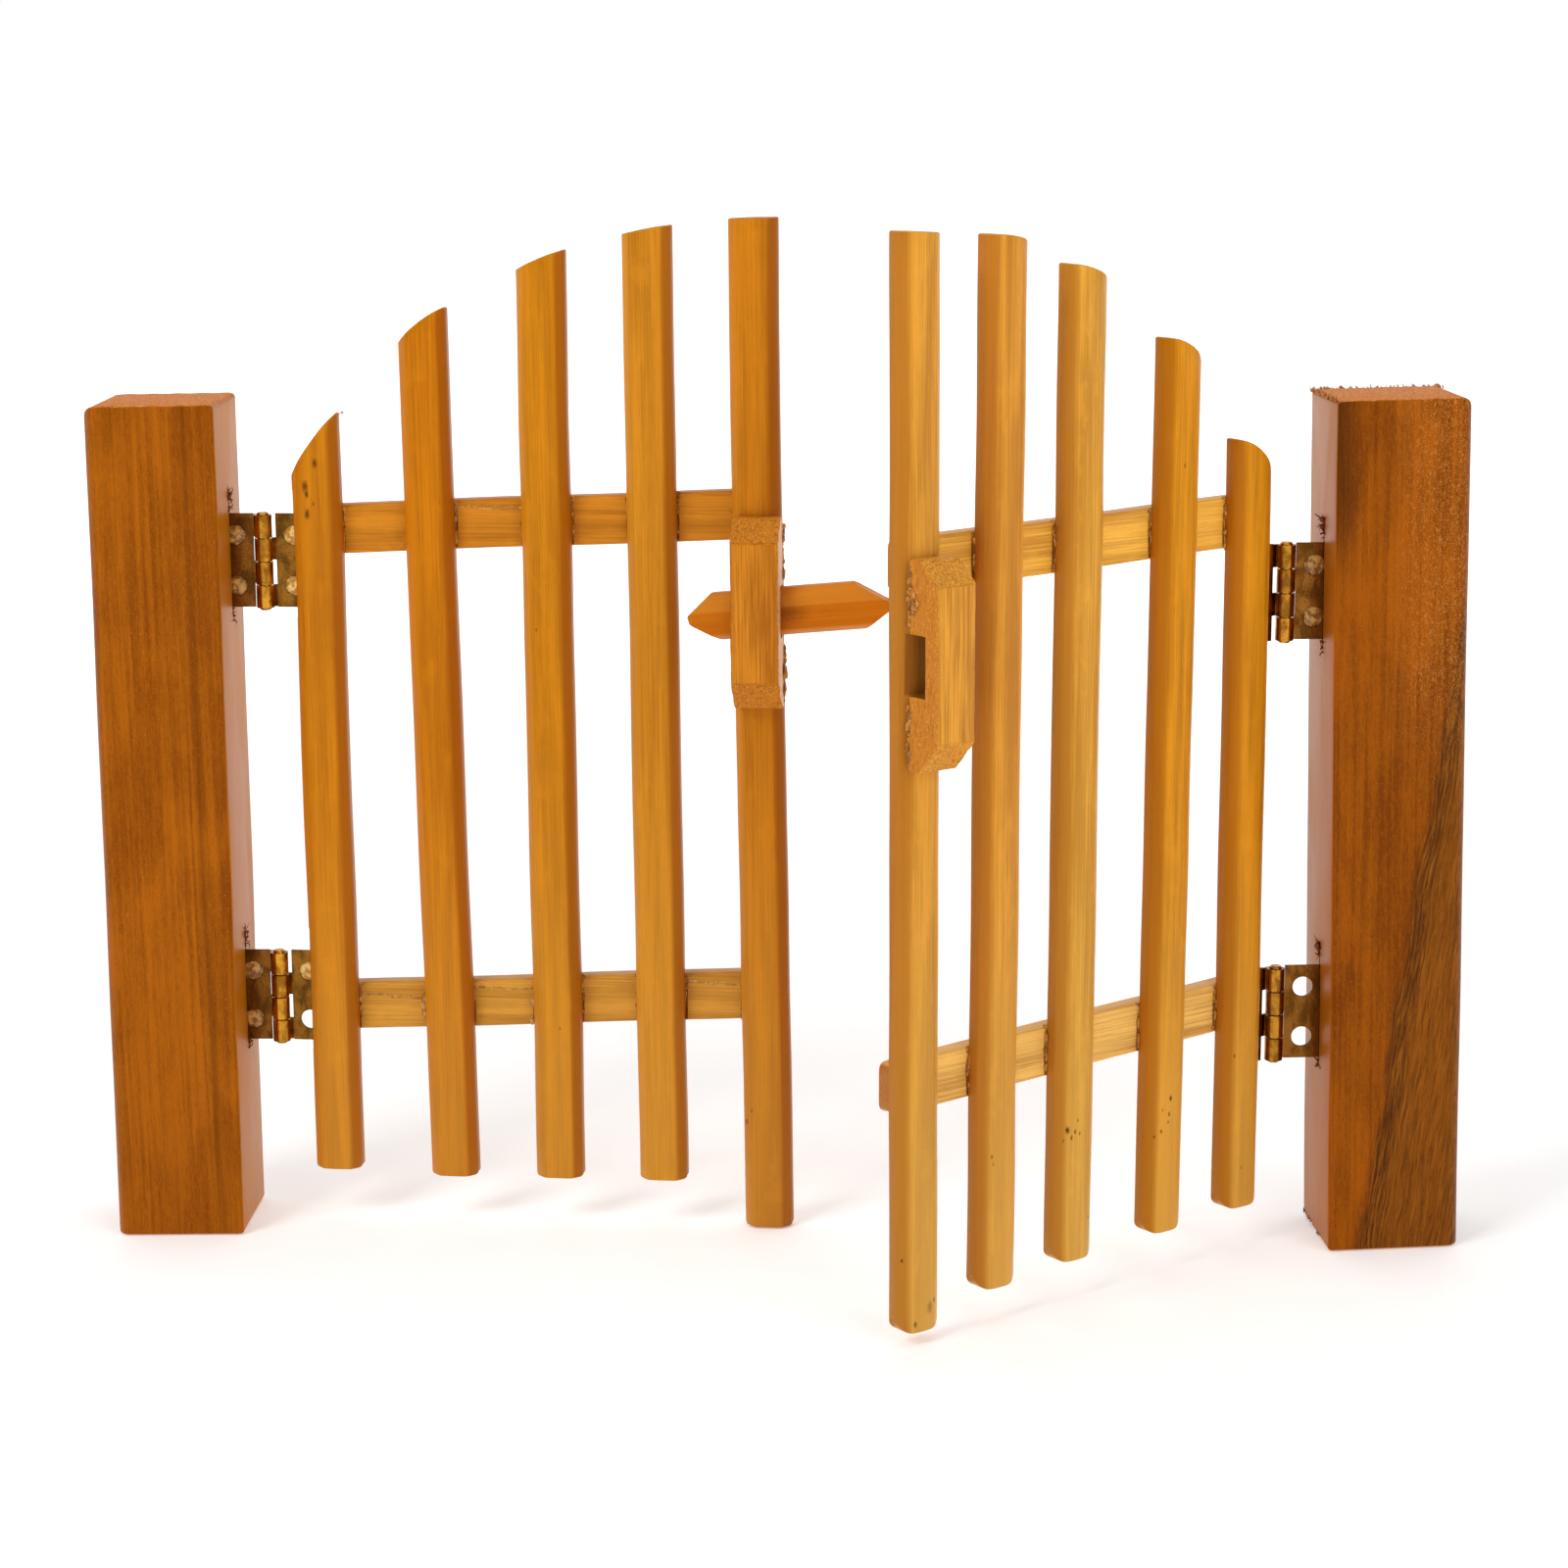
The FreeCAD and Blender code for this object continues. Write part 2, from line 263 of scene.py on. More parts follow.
def bamboo(name, seed, light, mid, dark, rail=False, foot_pale=0.0, marks=(), socket=None, painted_light_bands=()):
    """Split bamboo under varnish: fine fibres along the piece, dark vessel dashes, darker planed chamfers.
    marks are dark specks, and on the bolt a patch of painted shadow; socket is a zone darkened with painted
    shade, where the keeper's slot looks onto the picket; painted_light_bands are stripes of painted
    highlight."""
    w = Wood(name)
    g = w.attr("grain")
    gx, gy, gz = w.xyz(g)[:3]
    across, end_on, height = w.xyz(w.attr("zone"))[:3]
    sh = (seed * 13.7, seed * 5.1, seed * 29.3)
    fine = w.noise(g, (4.2, 3.0, 0.035), 2, 0.6, 0, sh)
    hair = w.noise(g, (11.0, 8.0, 0.11), 2, 0.6, 0, sh)
    broad = w.noise(g, (0.35, 0.3, 0.018), 3, 0.5, 0.3, sh)
    blotch = w.noise(g, (0.25, 0.25, 0.12), 3, 0.6, 0.4, sh)
    dash = w.noise(g, (7.5, 7.5, 0.32), 2, 0.7, 0, (sh[2], sh[0], sh[1]))
    tone = w.weigh((fine, 0.34), (hair, 0.18), (broad, 0.48))
    col = w.ramp(tone, [(0.42, dark), (0.5, mid), (0.58, light)])
    col = w.mix(w.step(dash, 0.58, 0.70, 0, 0.34), col, scaled(dark, 0.75, 0.55, 0.35))
    col = w.mix(w.step(blotch, 0.5, 0.75, 0, 0.35), col, scaled(light, 1.12))
    if foot_pale:
        col = w.mix(w.step(height, 0.0, 0.55, foot_pale, 0.0), col, srgb("E0AE52"))
    col = w.mix(w.step(across, 0.3, 0.65, 0, 0.3 if rail else 0.8), col, scaled(mid, 0.66, 0.5, 0.4))
    col = w.mix(w.step(across, -0.35, -0.8, 0, 0.1 if rail else 0.3), col, scaled(light, 1.15))
    sawn = srgb("BE7430") if rail else mid
    end = w.noise(g, (2.2, 2.2, 2.2), 4, 0.7, 0, sh)
    end = w.ramp(end, [(0.35, scaled(sawn, 0.7)), (0.6, sawn if rail else light)])
    col = w.mix(w.step(end_on, 0.5, 0.8), col, end)
    for mark_x, mark_z, radius, strength in marks:
        flat = w.scale(g, (1, 0, SPECK_LENGTH))
        away = w.vector("DISTANCE", flat, (mark_x, 0, mark_z * SPECK_LENGTH), "Value")
        away = w.add(away, w.times(w.noise(g, (3, 3, 1.5), 2), 0.6 * radius))
        col = w.mix(w.step(away, 0.4 * radius, 1.25 * radius, strength, 0.0), col, srgb("4A2408"))
    # painted shade: the picket's face seen through the keeper's slot is darkened
    if socket:
        low, high, near, far = socket
        deep = w.times(w.band(gz, low, high, 0.2), w.band(gx, near, far, 0.1), w.step(gy, 2.2, 1.4))
        col = w.mix(w.times(deep, 0.75), col, srgb("7E420E"))
    # painted highlights: stripes of a lighter tone across the piece
    for lo, hi, strength, stripe in painted_light_bands:
        col = w.mix(w.times(w.band(gx, lo, hi, 0.35), strength), col, srgb(stripe))
    relief = w.weigh((fine, 0.6), (hair, 0.4))
    rough = w.step(broad, 0.3, 0.7, 0.30, 0.42)
    return w.finish(col, rough, relief, bump=0.4, edge=BEVEL_RADIUS, coat=0.03, coat_rough=0.15)


def heartwood(w, col, g, sh, y_front):
    """Darker wood right of a line that falls from the right edge to the middle of the foot, a dense seam
    along that line, a rubbed area at the upper right and a dark upper left edge."""
    x, y, z = w.xyz(g)[:3]
    face = w.step(y, y_front + 3.5, y_front + 1.5)
    wave = w.times(w.less(w.noise(g, (0.05, 0.05, 0.03), 3, 0.6, 0, sh), 0.5), 4.5)
    past = w.less(w.less(x, w.times(z, 0.143)), w.less(wave, 5.6))
    past = w.less(past, w.times(w.less(y, y_front), 0.8))
    slanted = w.node("ShaderNodeCombineXYZ")
    for socket, value in zip(slanted.inputs, (past, y, z)):
        w.put(socket, value)
    lines = w.noise(slanted.outputs[0], (2.4, 2.4, 0.11), 5, 0.8, 0.2, (sh[1], sh[2], sh[0]))
    heart = w.step(past, -1.5, 1.0)
    seam = w.times(w.step(past, -2.2, 0.3), w.step(past, 4.2, 1.2))
    dense = w.add(w.times(w.step(lines, 0.43, 0.57), 0.75), 0.1)
    scratch = w.step(w.noise(g, (3.4, 3.4, 1.7), 3, 0.7, 1.6, sh), 0.53, 0.62)
    rubbed = w.times(w.step(x, -5, 6), w.step(z, 84, 118), face)
    edge = w.times(w.step(w.add(x, wave), -7.0, -11.5), w.step(z, 120, 148), face)
    for amount, stain in ((w.times(heart, 0.62), "7A4510"),
                          (w.times(heart, w.step(lines, 0.47, 0.38), 0.28), "B8722C"),
                          (w.times(heart, w.step(lines, 0.51, 0.59), 0.62), "40200A"),
                          (w.times(seam, dense), "35160A"),
                          (w.times(scratch, rubbed, 0.55), "D9924A"),
                          (w.times(edge, 0.72), "3A1404")):
        col = w.mix(amount, col, srgb(stain))
    return col


def timber(name, seed, light, mid, dark, side, figured, y_front=0.0):
    """Stained hardwood post: fine pores, faint streaks and a glossier flank towards the gate, paled with a
    painted reflection of the bright backdrop.
    """
    w = Wood(name)
    g = w.attr("grain")
    across, end_on, _ = w.xyz(w.attr("zone"))[:3]
    sh = (seed * 7.3, seed * 3.9, seed * 17.1)
    pores = w.noise(g, (2.3, 2.3, 0.55), 5, 0.75, 0.3, sh)
    streak = w.noise(g, (1.1, 1.1, 0.02), 4, 0.6, 0.3, sh)
    cloud = w.noise(g, (0.10, 0.10, 0.035), 3, 0.5, 0.6, sh)
    grit = w.noise(g, (3.4, 3.4, 2.4), 3, 0.7, 0, sh)
    tone = w.weigh((streak, 0.35), (cloud, 0.35), (pores, 0.3))
    col = w.ramp(tone, [(0.42, dark), (0.5, mid), (0.58, light)])
    col = w.mix(w.step(pores, 0.57, 0.68, 0, 0.22), col, scaled(dark, 0.7, 0.55, 0.4))
    col = w.mix(w.step(grit, 0.58, 0.68, 0, 0.6), col, scaled(light, 1.3, 1.5, 2.5))
    if figured:
        col = heartwood(w, col, g, sh, y_front)
    else:
        # one dark line of grain, right of the middle of the face
        line = w.add(w.times(w.noise(g, (0.02, 0.02, 0.02), 2), 3), 6.8)
        line = w.math("ABSOLUTE", w.less(w.xyz(g)[0], line))
        col = w.mix(w.step(line, 0.0, 1.1, 0.45, 0.0), col, scaled(dark, 0.6))
    # painted reflection: the flank towards the gate is paled as if it mirrored the bright backdrop
    flank = w.step(w.times(across, side), 0.6, 0.9)
    col = w.mix(w.times(flank, 0.6), col, scaled(light, 1.38, 1.85, 1.7))
    end = w.noise(g, (1.6, 1.6, 1.6), 5, 0.75, 0, sh)
    end = w.ramp(end, [(0.35, srgb("A0541A")), (0.52, srgb("CC7830")), (0.68, srgb("ECA85A"))])
    col = w.mix(w.step(end_on, 0.5, 0.8), col, end)
    relief = w.weigh((pores, 0.6), (grit, 0.4))
    rough = w.math("MAXIMUM", w.step(cloud, 0.3, 0.7, 0.34, 0.46), w.step(end_on, 0.5, 0.8, 0, 0.65))
    return w.finish(col, rough, relief, bump=0.3, coat=w.times(flank, 0.012), coat_rough=0.06)


def blockwood(name, seed, light, mid, dark, painted_slot_shade=None, pale=0.0):
    """Small latch blocks: end grain on the bevels and sides, straight fibres on the front.
    painted_slot_shade is a slot in the back darkened with painted shade, pale the strength of a painted
    highlight on the side towards +across."""
    w = Wood(name)
    g = w.attr("grain")
    across, end_on, _ = w.xyz(w.attr("zone"))[:3]
    sh = (seed * 3.3, seed * 8.9, seed * 4.1)
    fine = w.noise(g, (3.2, 2.2, 0.06), 3, 0.6, 0.1, sh)
    grit = w.noise(g, (2.4, 2.4, 1.9), 4, 0.75, 0, sh)
    broad = w.noise(g, (0.3, 0.3, 0.06), 2, 0.5, 0, sh)
    dark_lines = w.noise(g, (1.6, 1.6, 0.4), 4, 0.7, 0.6, sh)
    front = w.ramp(w.weigh((fine, 0.65), (broad, 0.35)), [(0.40, dark), (0.5, mid), (0.60, light)])
    grain = w.ramp(grit, [(0.32, scaled(dark, 0.6)), (0.48, mid), (0.68, scaled(light, 1.2))])
    flank = w.math("ABSOLUTE", across)
    worked = w.step(w.math("MAXIMUM", end_on, flank), 0.15, 0.5)
    rusty = w.mix(w.step(flank, 0.3, 0.7, 0, 0.75), grain, scaled(mid, 0.86, 0.62, 0.4))
    rusty = w.mix(w.step(grit, 0.52, 0.66, 0, 0.7), rusty, light)
    rusty = w.mix(w.step(dark_lines, 0.54, 0.64, 0, 0.6), rusty, scaled(mid, 0.5, 0.32, 0.2))
    col = w.mix(worked, front, rusty)
    # painted highlight: the side towards +across is paled
    if pale:
        painted_highlight = w.times(w.step(across, 0.5, 0.8, 0, pale), w.step(grit, 0.35, 0.5, 0.4, 1))
        col = w.mix(painted_highlight, col, srgb("F0C8A0"))
    # painted shade: the inside of the slot is darkened
    if painted_slot_shade:
        _, gy, gz = w.xyz(g)[:3]
        low, high, deep = painted_slot_shade
        inside = w.times(w.step(gz, low - 0.15, low), w.step(gz, high + 0.15, high))
        col = w.mix(w.times(inside, w.step(gy, deep - 0.1, deep), 0.8), col, srgb("6E3A0E"))
    relief = w.weigh((grit, w.step(worked, 0, 1, 0.15, 0.9)), (fine, 0.35))
    rough = w.step(grit, 0.3, 0.7, 0.3, 0.45)
    return w.finish(col, rough, relief, bump=0.6, edge=BEVEL_RADIUS, coat=0.03, coat_rough=0.15)


def brass(name, seed, light, dark, joint, rolled=("CF9530", "99641E")):
    """Pressed brass sheet: dull bronze plates and bright knuckles, brush marks and specks; the plates'
    darker tone is painted shade and the knuckles' brighter tone a painted highlight.
    """
    w = Wood(name)
    c = w.node("ShaderNodeTexCoord").outputs["Object"]
    sh = (seed * 3.1, seed * 1.7, seed)
    tarnish = w.noise(c, (420, 420, 260), 4, 0.6, 0.4, sh)
    brush = w.noise(c, (1500, 1500, 9000), 2, 0.6, 0, sh)
    spots = w.noise(c, (1800, 1800, 1800), 3, 0.6, 0, sh)
    arm = w.vector("CROSS_PRODUCT", w.vector("SUBTRACT", c, joint["pos_m"]), upright(joint["axis"]))
    # painted light: away from the pin the plates take the darker sheet colours as shade, and the knuckles
    # take the brighter ones as if lit
    plate = w.step(w.vector("LENGTH", arm, out="Value"), 0.0018, 0.0023)
    flat = w.mix(w.step(tarnish, 0.35, 0.65), srgb(light), srgb(dark))
    knuckle = w.mix(w.step(tarnish, 0.38, 0.62), srgb(rolled[0]), srgb(rolled[1]))
    col = w.mix(plate, knuckle, flat)
    col = w.mix(w.step(spots, 0.60, 0.70, 0, 0.55), col, srgb("4A2A0C"))
    rough = w.step(tarnish, 0.35, 0.65, 0.12, 0.26)
    relief = w.weigh((brush, 0.5), (spots, 0.5))
    return w.finish(col, rough, relief, bump=0.15, edge=BEVEL_RADIUS, metallic=1.0)


# ---------------------------------------------------------------- mesh helpers
def new_object(name, data):
    obj = bpy.data.objects.new(name, data)
    bpy.context.scene.collection.objects.link(obj)
    return obj


def smooth(mesh, degrees=32):
    mesh.polygons.foreach_set("use_smooth", [True] * len(mesh.polygons))
    mesh.set_sharp_from_angle(angle=math.radians(degrees))


def keep(mesh, name, domain, values):
    """Store vectors on a mesh under a name that the materials read."""
    data = mesh.attributes.new(name, "FLOAT_VECTOR", domain).data
    data.foreach_set("vector", values.astype(np.float32).ravel())


def dress(obj, local, order, mat, body):
    """Grain coordinates in millimetres (points) and zones (corners: which way the surface faces across,
    how much it faces along, and the height from 0 to 1), then material and body."""
    mesh = obj.data
    co = np.zeros(len(mesh.vertices) * 3)
    mesh.vertices.foreach_get("co", co)
    p = np.c_[co.reshape(-1, 3), np.ones(len(mesh.vertices))] @ np.array(local.inverted()).T
    p = p[:, order]
    keep(mesh, "grain", "POINT", p)
    nor = np.zeros(len(mesh.loops) * 3)
    mesh.corner_normals.foreach_get("vector", nor)
    n = (nor.reshape(-1, 3) @ (np.array(local.to_3x3()) / MM))[:, order]
    n /= np.linalg.norm(n, axis=1)[:, None]
    corner = np.zeros(len(mesh.loops), dtype=np.int32)
    mesh.loops.foreach_get("vertex_index", corner)
    lo, hi = p[:, 2].min(), p[:, 2].max()
    keep(mesh, "zone", "CORNER", np.c_[n[:, 0], np.abs(n[:, 2]), (p[corner, 2] - lo) / (hi - lo)])
    mesh.materials.clear()
    mesh.materials.append(mat)
    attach(obj, body)


def stations(lo, hi, rim, n):
    """Across positions, dense near both edges."""
    edge = rim * (1 - np.cos(np.linspace(0, math.pi / 2, 7)))
    inner = np.linspace(lo + rim, hi - rim, n)
    return np.unique(np.round(np.r_[lo + edge, inner, hi - edge], 5))


def plank(name, local, place, u, front, back, low, high, rings, wobble=0.0, seed=0, soft_end=0.3):
    """Closed bar: for each ring along w, points at the stations u on the front and the back surface.
    place(u, v, w) gives local millimetres; low(u) and high(u) shape its two ends."""
    n = len(u)
    verts = []
    length = high(u).max() - low(u).min()
    turn = np.linspace(0, math.pi / 2, 4)
    near_end = soft_end * (1 - np.cos(turn)) / length
    tuck = soft_end * (1 - np.sin(turn))
    t = np.r_[near_end, np.linspace(near_end[-1], 1 - near_end[-1], rings)[1:-1], 1 - near_end[::-1]]
    tuck = np.r_[tuck, np.zeros(rings - 2), tuck[::-1]]
    rings = len(t)
    for k in range(rings):
        w = low(u) + (high(u) - low(u)) * t[k]
        mid = w.mean()
        q = Vector((seed * 11.3, 0, mid * 0.035))
        du = noise.noise(q) * wobble
        su = 1 + noise.noise(q + Vector((5, 7, 0))) * wobble * 0.02
        dv = noise.noise(q + Vector((3, 1, 9))) * wobble * 0.6
        centre = (u[0] + u[-1]) / 2
        su *= 1 - 2 * tuck[k] / (u[-1] - u[0])
        uu = centre + (u - centre) * su + du
        for row, vv in ((uu, front(u) + dv + tuck[k]), (uu[::-1], back(u)[::-1] + dv * 0.3 - tuck[k])):
            ww = w if row is uu else w[::-1]
            verts += [place(a, b, c) for a, b, c in zip(row, vv, ww)]
    m = 2 * n
    faces = []
    for k in range(rings - 1):
        for i in range(m):
            j = (i + 1) % m
            faces.append((k * m + i, k * m + j, (k + 1) * m + j, (k + 1) * m + i))
    for base, flip in ((0, False), ((rings - 1) * m, True)):
        for i in range(n - 1):
            f = (base + i, base + i + 1, base + m - 2 - i, base + m - 1 - i)
            faces.append(f if flip else f[::-1])
    mesh = bpy.data.meshes.new(name)
    mesh.from_pydata([local @ Vector(v) for v in verts], [], faces)
    bm = bmesh.new()
    bm.from_mesh(mesh)
    bmesh.ops.recalc_face_normals(bm, faces=bm.faces)
    bm.to_mesh(mesh)
    bm.free()
    return new_object(name, mesh)


def rounded(d, r):
    """How far a surface falls back at distance d inside an edge of radius r."""
    d = np.clip(d, 0, r)
    return r - np.sqrt(np.maximum(r * r - (r - d) ** 2, 0))


def cut(obj, low, high, local):
    """Saw a slot, given in local millimetres, out of a piece."""
    c = [(x, y, z) for x in (low[0], high[0]) for y in (low[1], high[1]) for z in (low[2], high[2])]
    f = [(0, 1, 3, 2), (4, 6, 7, 5), (0, 4, 5, 1), (2, 3, 7, 6), (0, 2, 6, 4), (1, 5, 7, 3)]
    if local.determinant() < 0:
        f = [q[::-1] for q in f]
    saw = bpy.data.meshes.new("saw")
    saw.from_pydata([local @ Vector(v) for v in c], [], f)
    saw = new_object("saw", saw)
    mod = obj.modifiers.new("kerf", "BOOLEAN")
    mod.operation, mod.object, mod.solver = "DIFFERENCE", saw, "EXACT"
    bpy.context.view_layer.update()
    done = bpy.data.meshes.new_from_object(obj.evaluated_get(bpy.context.evaluated_depsgraph_get()))
    obj.modifiers.clear()
    obj.data = done
    bpy.data.objects.remove(saw)


# the hinge slots in mm: depths of both faces, end, and how far they pass a plate below and above
KERF_FRONT, KERF_BACK, KERF_END = 1.0, 1.9, 10.1
KERF_BELOW, KERF_ABOVE = 2, 4.5


def plate_heights(side, what, local):
    """Foot and top of the upper and the lower hinge plate, in local millimetres."""
    found = []
    for level in ("upper", "lower"):
        z = points(f"{side}_{level}_hinge_{what}_plate", local)[:, 2]
        found.append((z.min(), z.max()))
    return found


def saw_kerfs(obj, side, what, local, start):
    """Saw the two hinge slots. Each runs past its plate, further above than below."""
    for foot, top in plate_heights(side, what, local):
        cut(obj, (start, KERF_FRONT, foot - KERF_BELOW), (KERF_END, KERF_BACK, top + KERF_ABOVE), local)


# ---------------------------------------------------------------- pickets
PICKET_TONES = {
    "left": [(194, 119, 16), (191, 113, 8), (193, 121, 16), (196, 127, 28), (189, 115, 18)],
    "right": [(203, 131, 20), (204, 132, 20), (214, 153, 54), (210, 142, 48), (206, 142, 48)],
}
# in mm: width of the planed chamfers, depths of a picket's face and back, the height where the outline
# of its top is taken, and the heights above and below which its vertices are top or foot
CHAMFER = 1.87
FACE, BEHIND = -0.71, 3.61
LEAN_HEIGHT = 150
CROWN_ABOVE, FOOT_BELOW = 120, 60
# how softly the chamfers run into the face, and the radius of the foot's edges
SOFTNESS = {"left": 0.12, "right": 1.3}
FOOT_ROUND = {"left": 0.5, "right": 2.3}

# dark specks and nodes: share of the way across, height in mm, radius in mm, strength
MARKS = {
    ("left", 1): [(0.55, 149.3, 0.75, 0.9), (0.33, 144.9, 0.95, 0.85), (0.36, 143.4, 0.6, 0.9),
                  (0.36, 139.6, 0.8, 0.9), (0.5, 141.5, 0.35, 0.6)],
    ("left", 3): [(0.3, 118, 0.25, 0.8), (0.6, 40, 0.3, 0.7)],
    ("left", 5): [(0.08, 22, 0.5, 0.7), (0.2, 24.5, 0.3, 0.7)],
    ("right", 1): [(0.8, 38, 0.3, 0.8), (0.6, 16, 0.3, 0.6)],
    ("right", 2): [(0.5, 33, 0.5, 1.0), (0.53, 30, 0.4, 0.9), (0.55, 28.5, 0.3, 0.9), (0.72, 27, 0.35, 0.9),
                   (0.85, 26, 0.3, 0.8), (0.7, 31, 0.25, 0.7), (0.55, 150, 0.35, 0.8)],
    ("right", 3): [(0.78, 31.5, 0.6, 1.0), (0.62, 31, 0.4, 0.9), (0.7, 30, 0.35, 0.9), (0.5, 30.5, 0.3, 0.9),
                   (0.55, 33, 0.3, 0.7), (0.85, 29.5, 0.25, 0.8), (0.2, 14, 0.35, 0.8)],
    ("right", 4): [(0.75, 30, 0.35, 0.8), (0.72, 28.6, 0.3, 0.6)],
    ("right", 5): [(0.93, 14.5, 0.3, 1.0), (0.35, 5.2, 1.0, 0.5), (0.22, 6.2, 0.45, 0.9),
                   (0.7, 2.6, 0.5, 0.8)],
}
PICKET, RAIL = {}, {}

# the keeper's slot lies on right picket 5: its height and the block's two sides bound the painted shade on
# the picket's face there
keeper = points("latch_keeper_block", LEAF["right"])
wall = keeper[keeper[:, 1] > keeper[:, 1].max() - 0.05][:, 2]
wall = [z for z in wall if wall.min() + 6 < z < wall.max() - 6]
SOCKET_SHADE_ZONE = min(wall), max(wall), keeper[:, 0].min(), keeper[:, 0].max()

for side in ("left", "right"):
    local = LEAF[side]
    for k in range(1, 6):
        node = f"{side}_picket_{k}"
        seed = k + (5 if side == "right" else 0)
        p = points(node, local)
        foot = p[:, 2].min()
        back = p[p[:, 1] > p[:, 1].max() - 0.05]
        top, bottom = back[back[:, 2] > CROWN_ABOVE], back[back[:, 2] < FOOT_BELOW]
        near_foot, far_foot = bottom[bottom[:, 0].argmin()], bottom[bottom[:, 0].argmax()]
        near_top = top[top[:, 0].argmin()]
        nb, low_nb = near_foot[0], near_foot[2]
        lean = (near_top[0] - nb) / (near_top[2] - low_nb)
        wide = far_foot[0] - nb - lean * (far_foot[2] - low_nb)
        order = np.argsort(top[:, 0])
        tx, tz = top[order, 0], top[order, 2]
        u = stations(0, wide, CHAMFER + 0.6, 11)

        def edge(q):
            return np.minimum(q, wide - q)

        def front(q):
            d = edge(q)
            s = CHAMFER - d
            soft = 0.5 * (s + np.sqrt(s * s + SOFTNESS[side])) - 0.12 * SOFTNESS[side]
            return FACE + np.clip(soft, 0, CHAMFER + 0.2) + rounded(d, 0.4)

        def backside(q):
            return BEHIND - rounded(edge(q), 0.4)

        def low(q):
            return foot + rounded(edge(q), FOOT_ROUND[side])

        def high(q):
            x = nb + q + lean * (LEAN_HEIGHT - low_nb)
            return np.interp(x, tx, tz)

        def place(a, b, c):
            return (nb + a + lean * (c - low_nb), b, c)

        obj = plank(node + "_slat", local, place, u, front, backside, low, high, 70, 0.22, seed)
        if k == 1:
            saw_kerfs(obj, side, "leaf", local, -1)
        smooth(obj.data)
        PICKET[side, k] = nb, wide, lean, low_nb
        specks = [(nb + a * wide + lean * (z - low_nb), z, r, f) for a, z, r, f in MARKS.get((side, k), ())]
        shades = tones(*PICKET_TONES[side][k - 1], 0.2 if side == "left" else 0.24)
        pale = 0.5 if side == "right" else 0.22
        socket = SOCKET_SHADE_ZONE if (side, k) == ("right", 5) else None
        mat = bamboo(node + "_bamboo", seed, *shades, foot_pale=pale, marks=specks, socket=socket)
        dress(obj, local, [0, 1, 2], mat, BODY[side])
        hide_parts(node)

# ---------------------------------------------------------------- rails
RAIL_TONES = {"left_upper_rail": (194, 122, 30), "left_lower_rail": (199, 141, 55),
              "right_upper_rail": (230, 168, 66), "right_lower_rail": (230, 177, 92)}
RAIL_THICK = 3.8

for side in ("left", "right"):
    local = LEAF[side]
    for n, level in enumerate(("upper", "lower")):
        node = f"{side}_{level}_rail"
        p = points(node, local)
        start, end = p[:, 0].min(), p[:, 0].max()
        a, b = p[p[:, 0] < start + 1.2], p[p[:, 0] > end - 1.2]
        z0, z1 = a[:, 2].max(), b[:, 2].max()
        rise = (z1 - z0) / (end - start)
        tall = z1 - b[:, 2].min()
        RAIL[side, level] = start, end, z0, rise, tall

        def edge(q):
            return np.minimum(q, tall - q)

        def front(q):
            return BEHIND + 0.02 + rounded(edge(q), 0.6)

        def backside(q):
            return BEHIND + RAIL_THICK - rounded(edge(q), 0.6)

        def low(q):
            return start + 0 * q

        def high(q):
            return end - rounded(edge(q), 1.6)

        def place(a, b, c):
            return (c, b, z0 + rise * (c - start) - tall + a)

        u = stations(0, tall, 1.2, 8)
        seed = n + (side == "right") * 2
        obj = plank(node + "_bar", local, place, u, front, backside, low, high, 50, 0.2, 30 + seed)
        smooth(obj.data)
        shades = tones(*RAIL_TONES[node], 0.24 if side == "left" else 0.3)
        mat = bamboo(node + "_bamboo", 20 + seed, *shades, rail=True)
        dress(obj, local, [2, 1, 0], mat, BODY[side])
        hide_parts(node)

# ---------------------------------------------------------------- posts
POST = {}
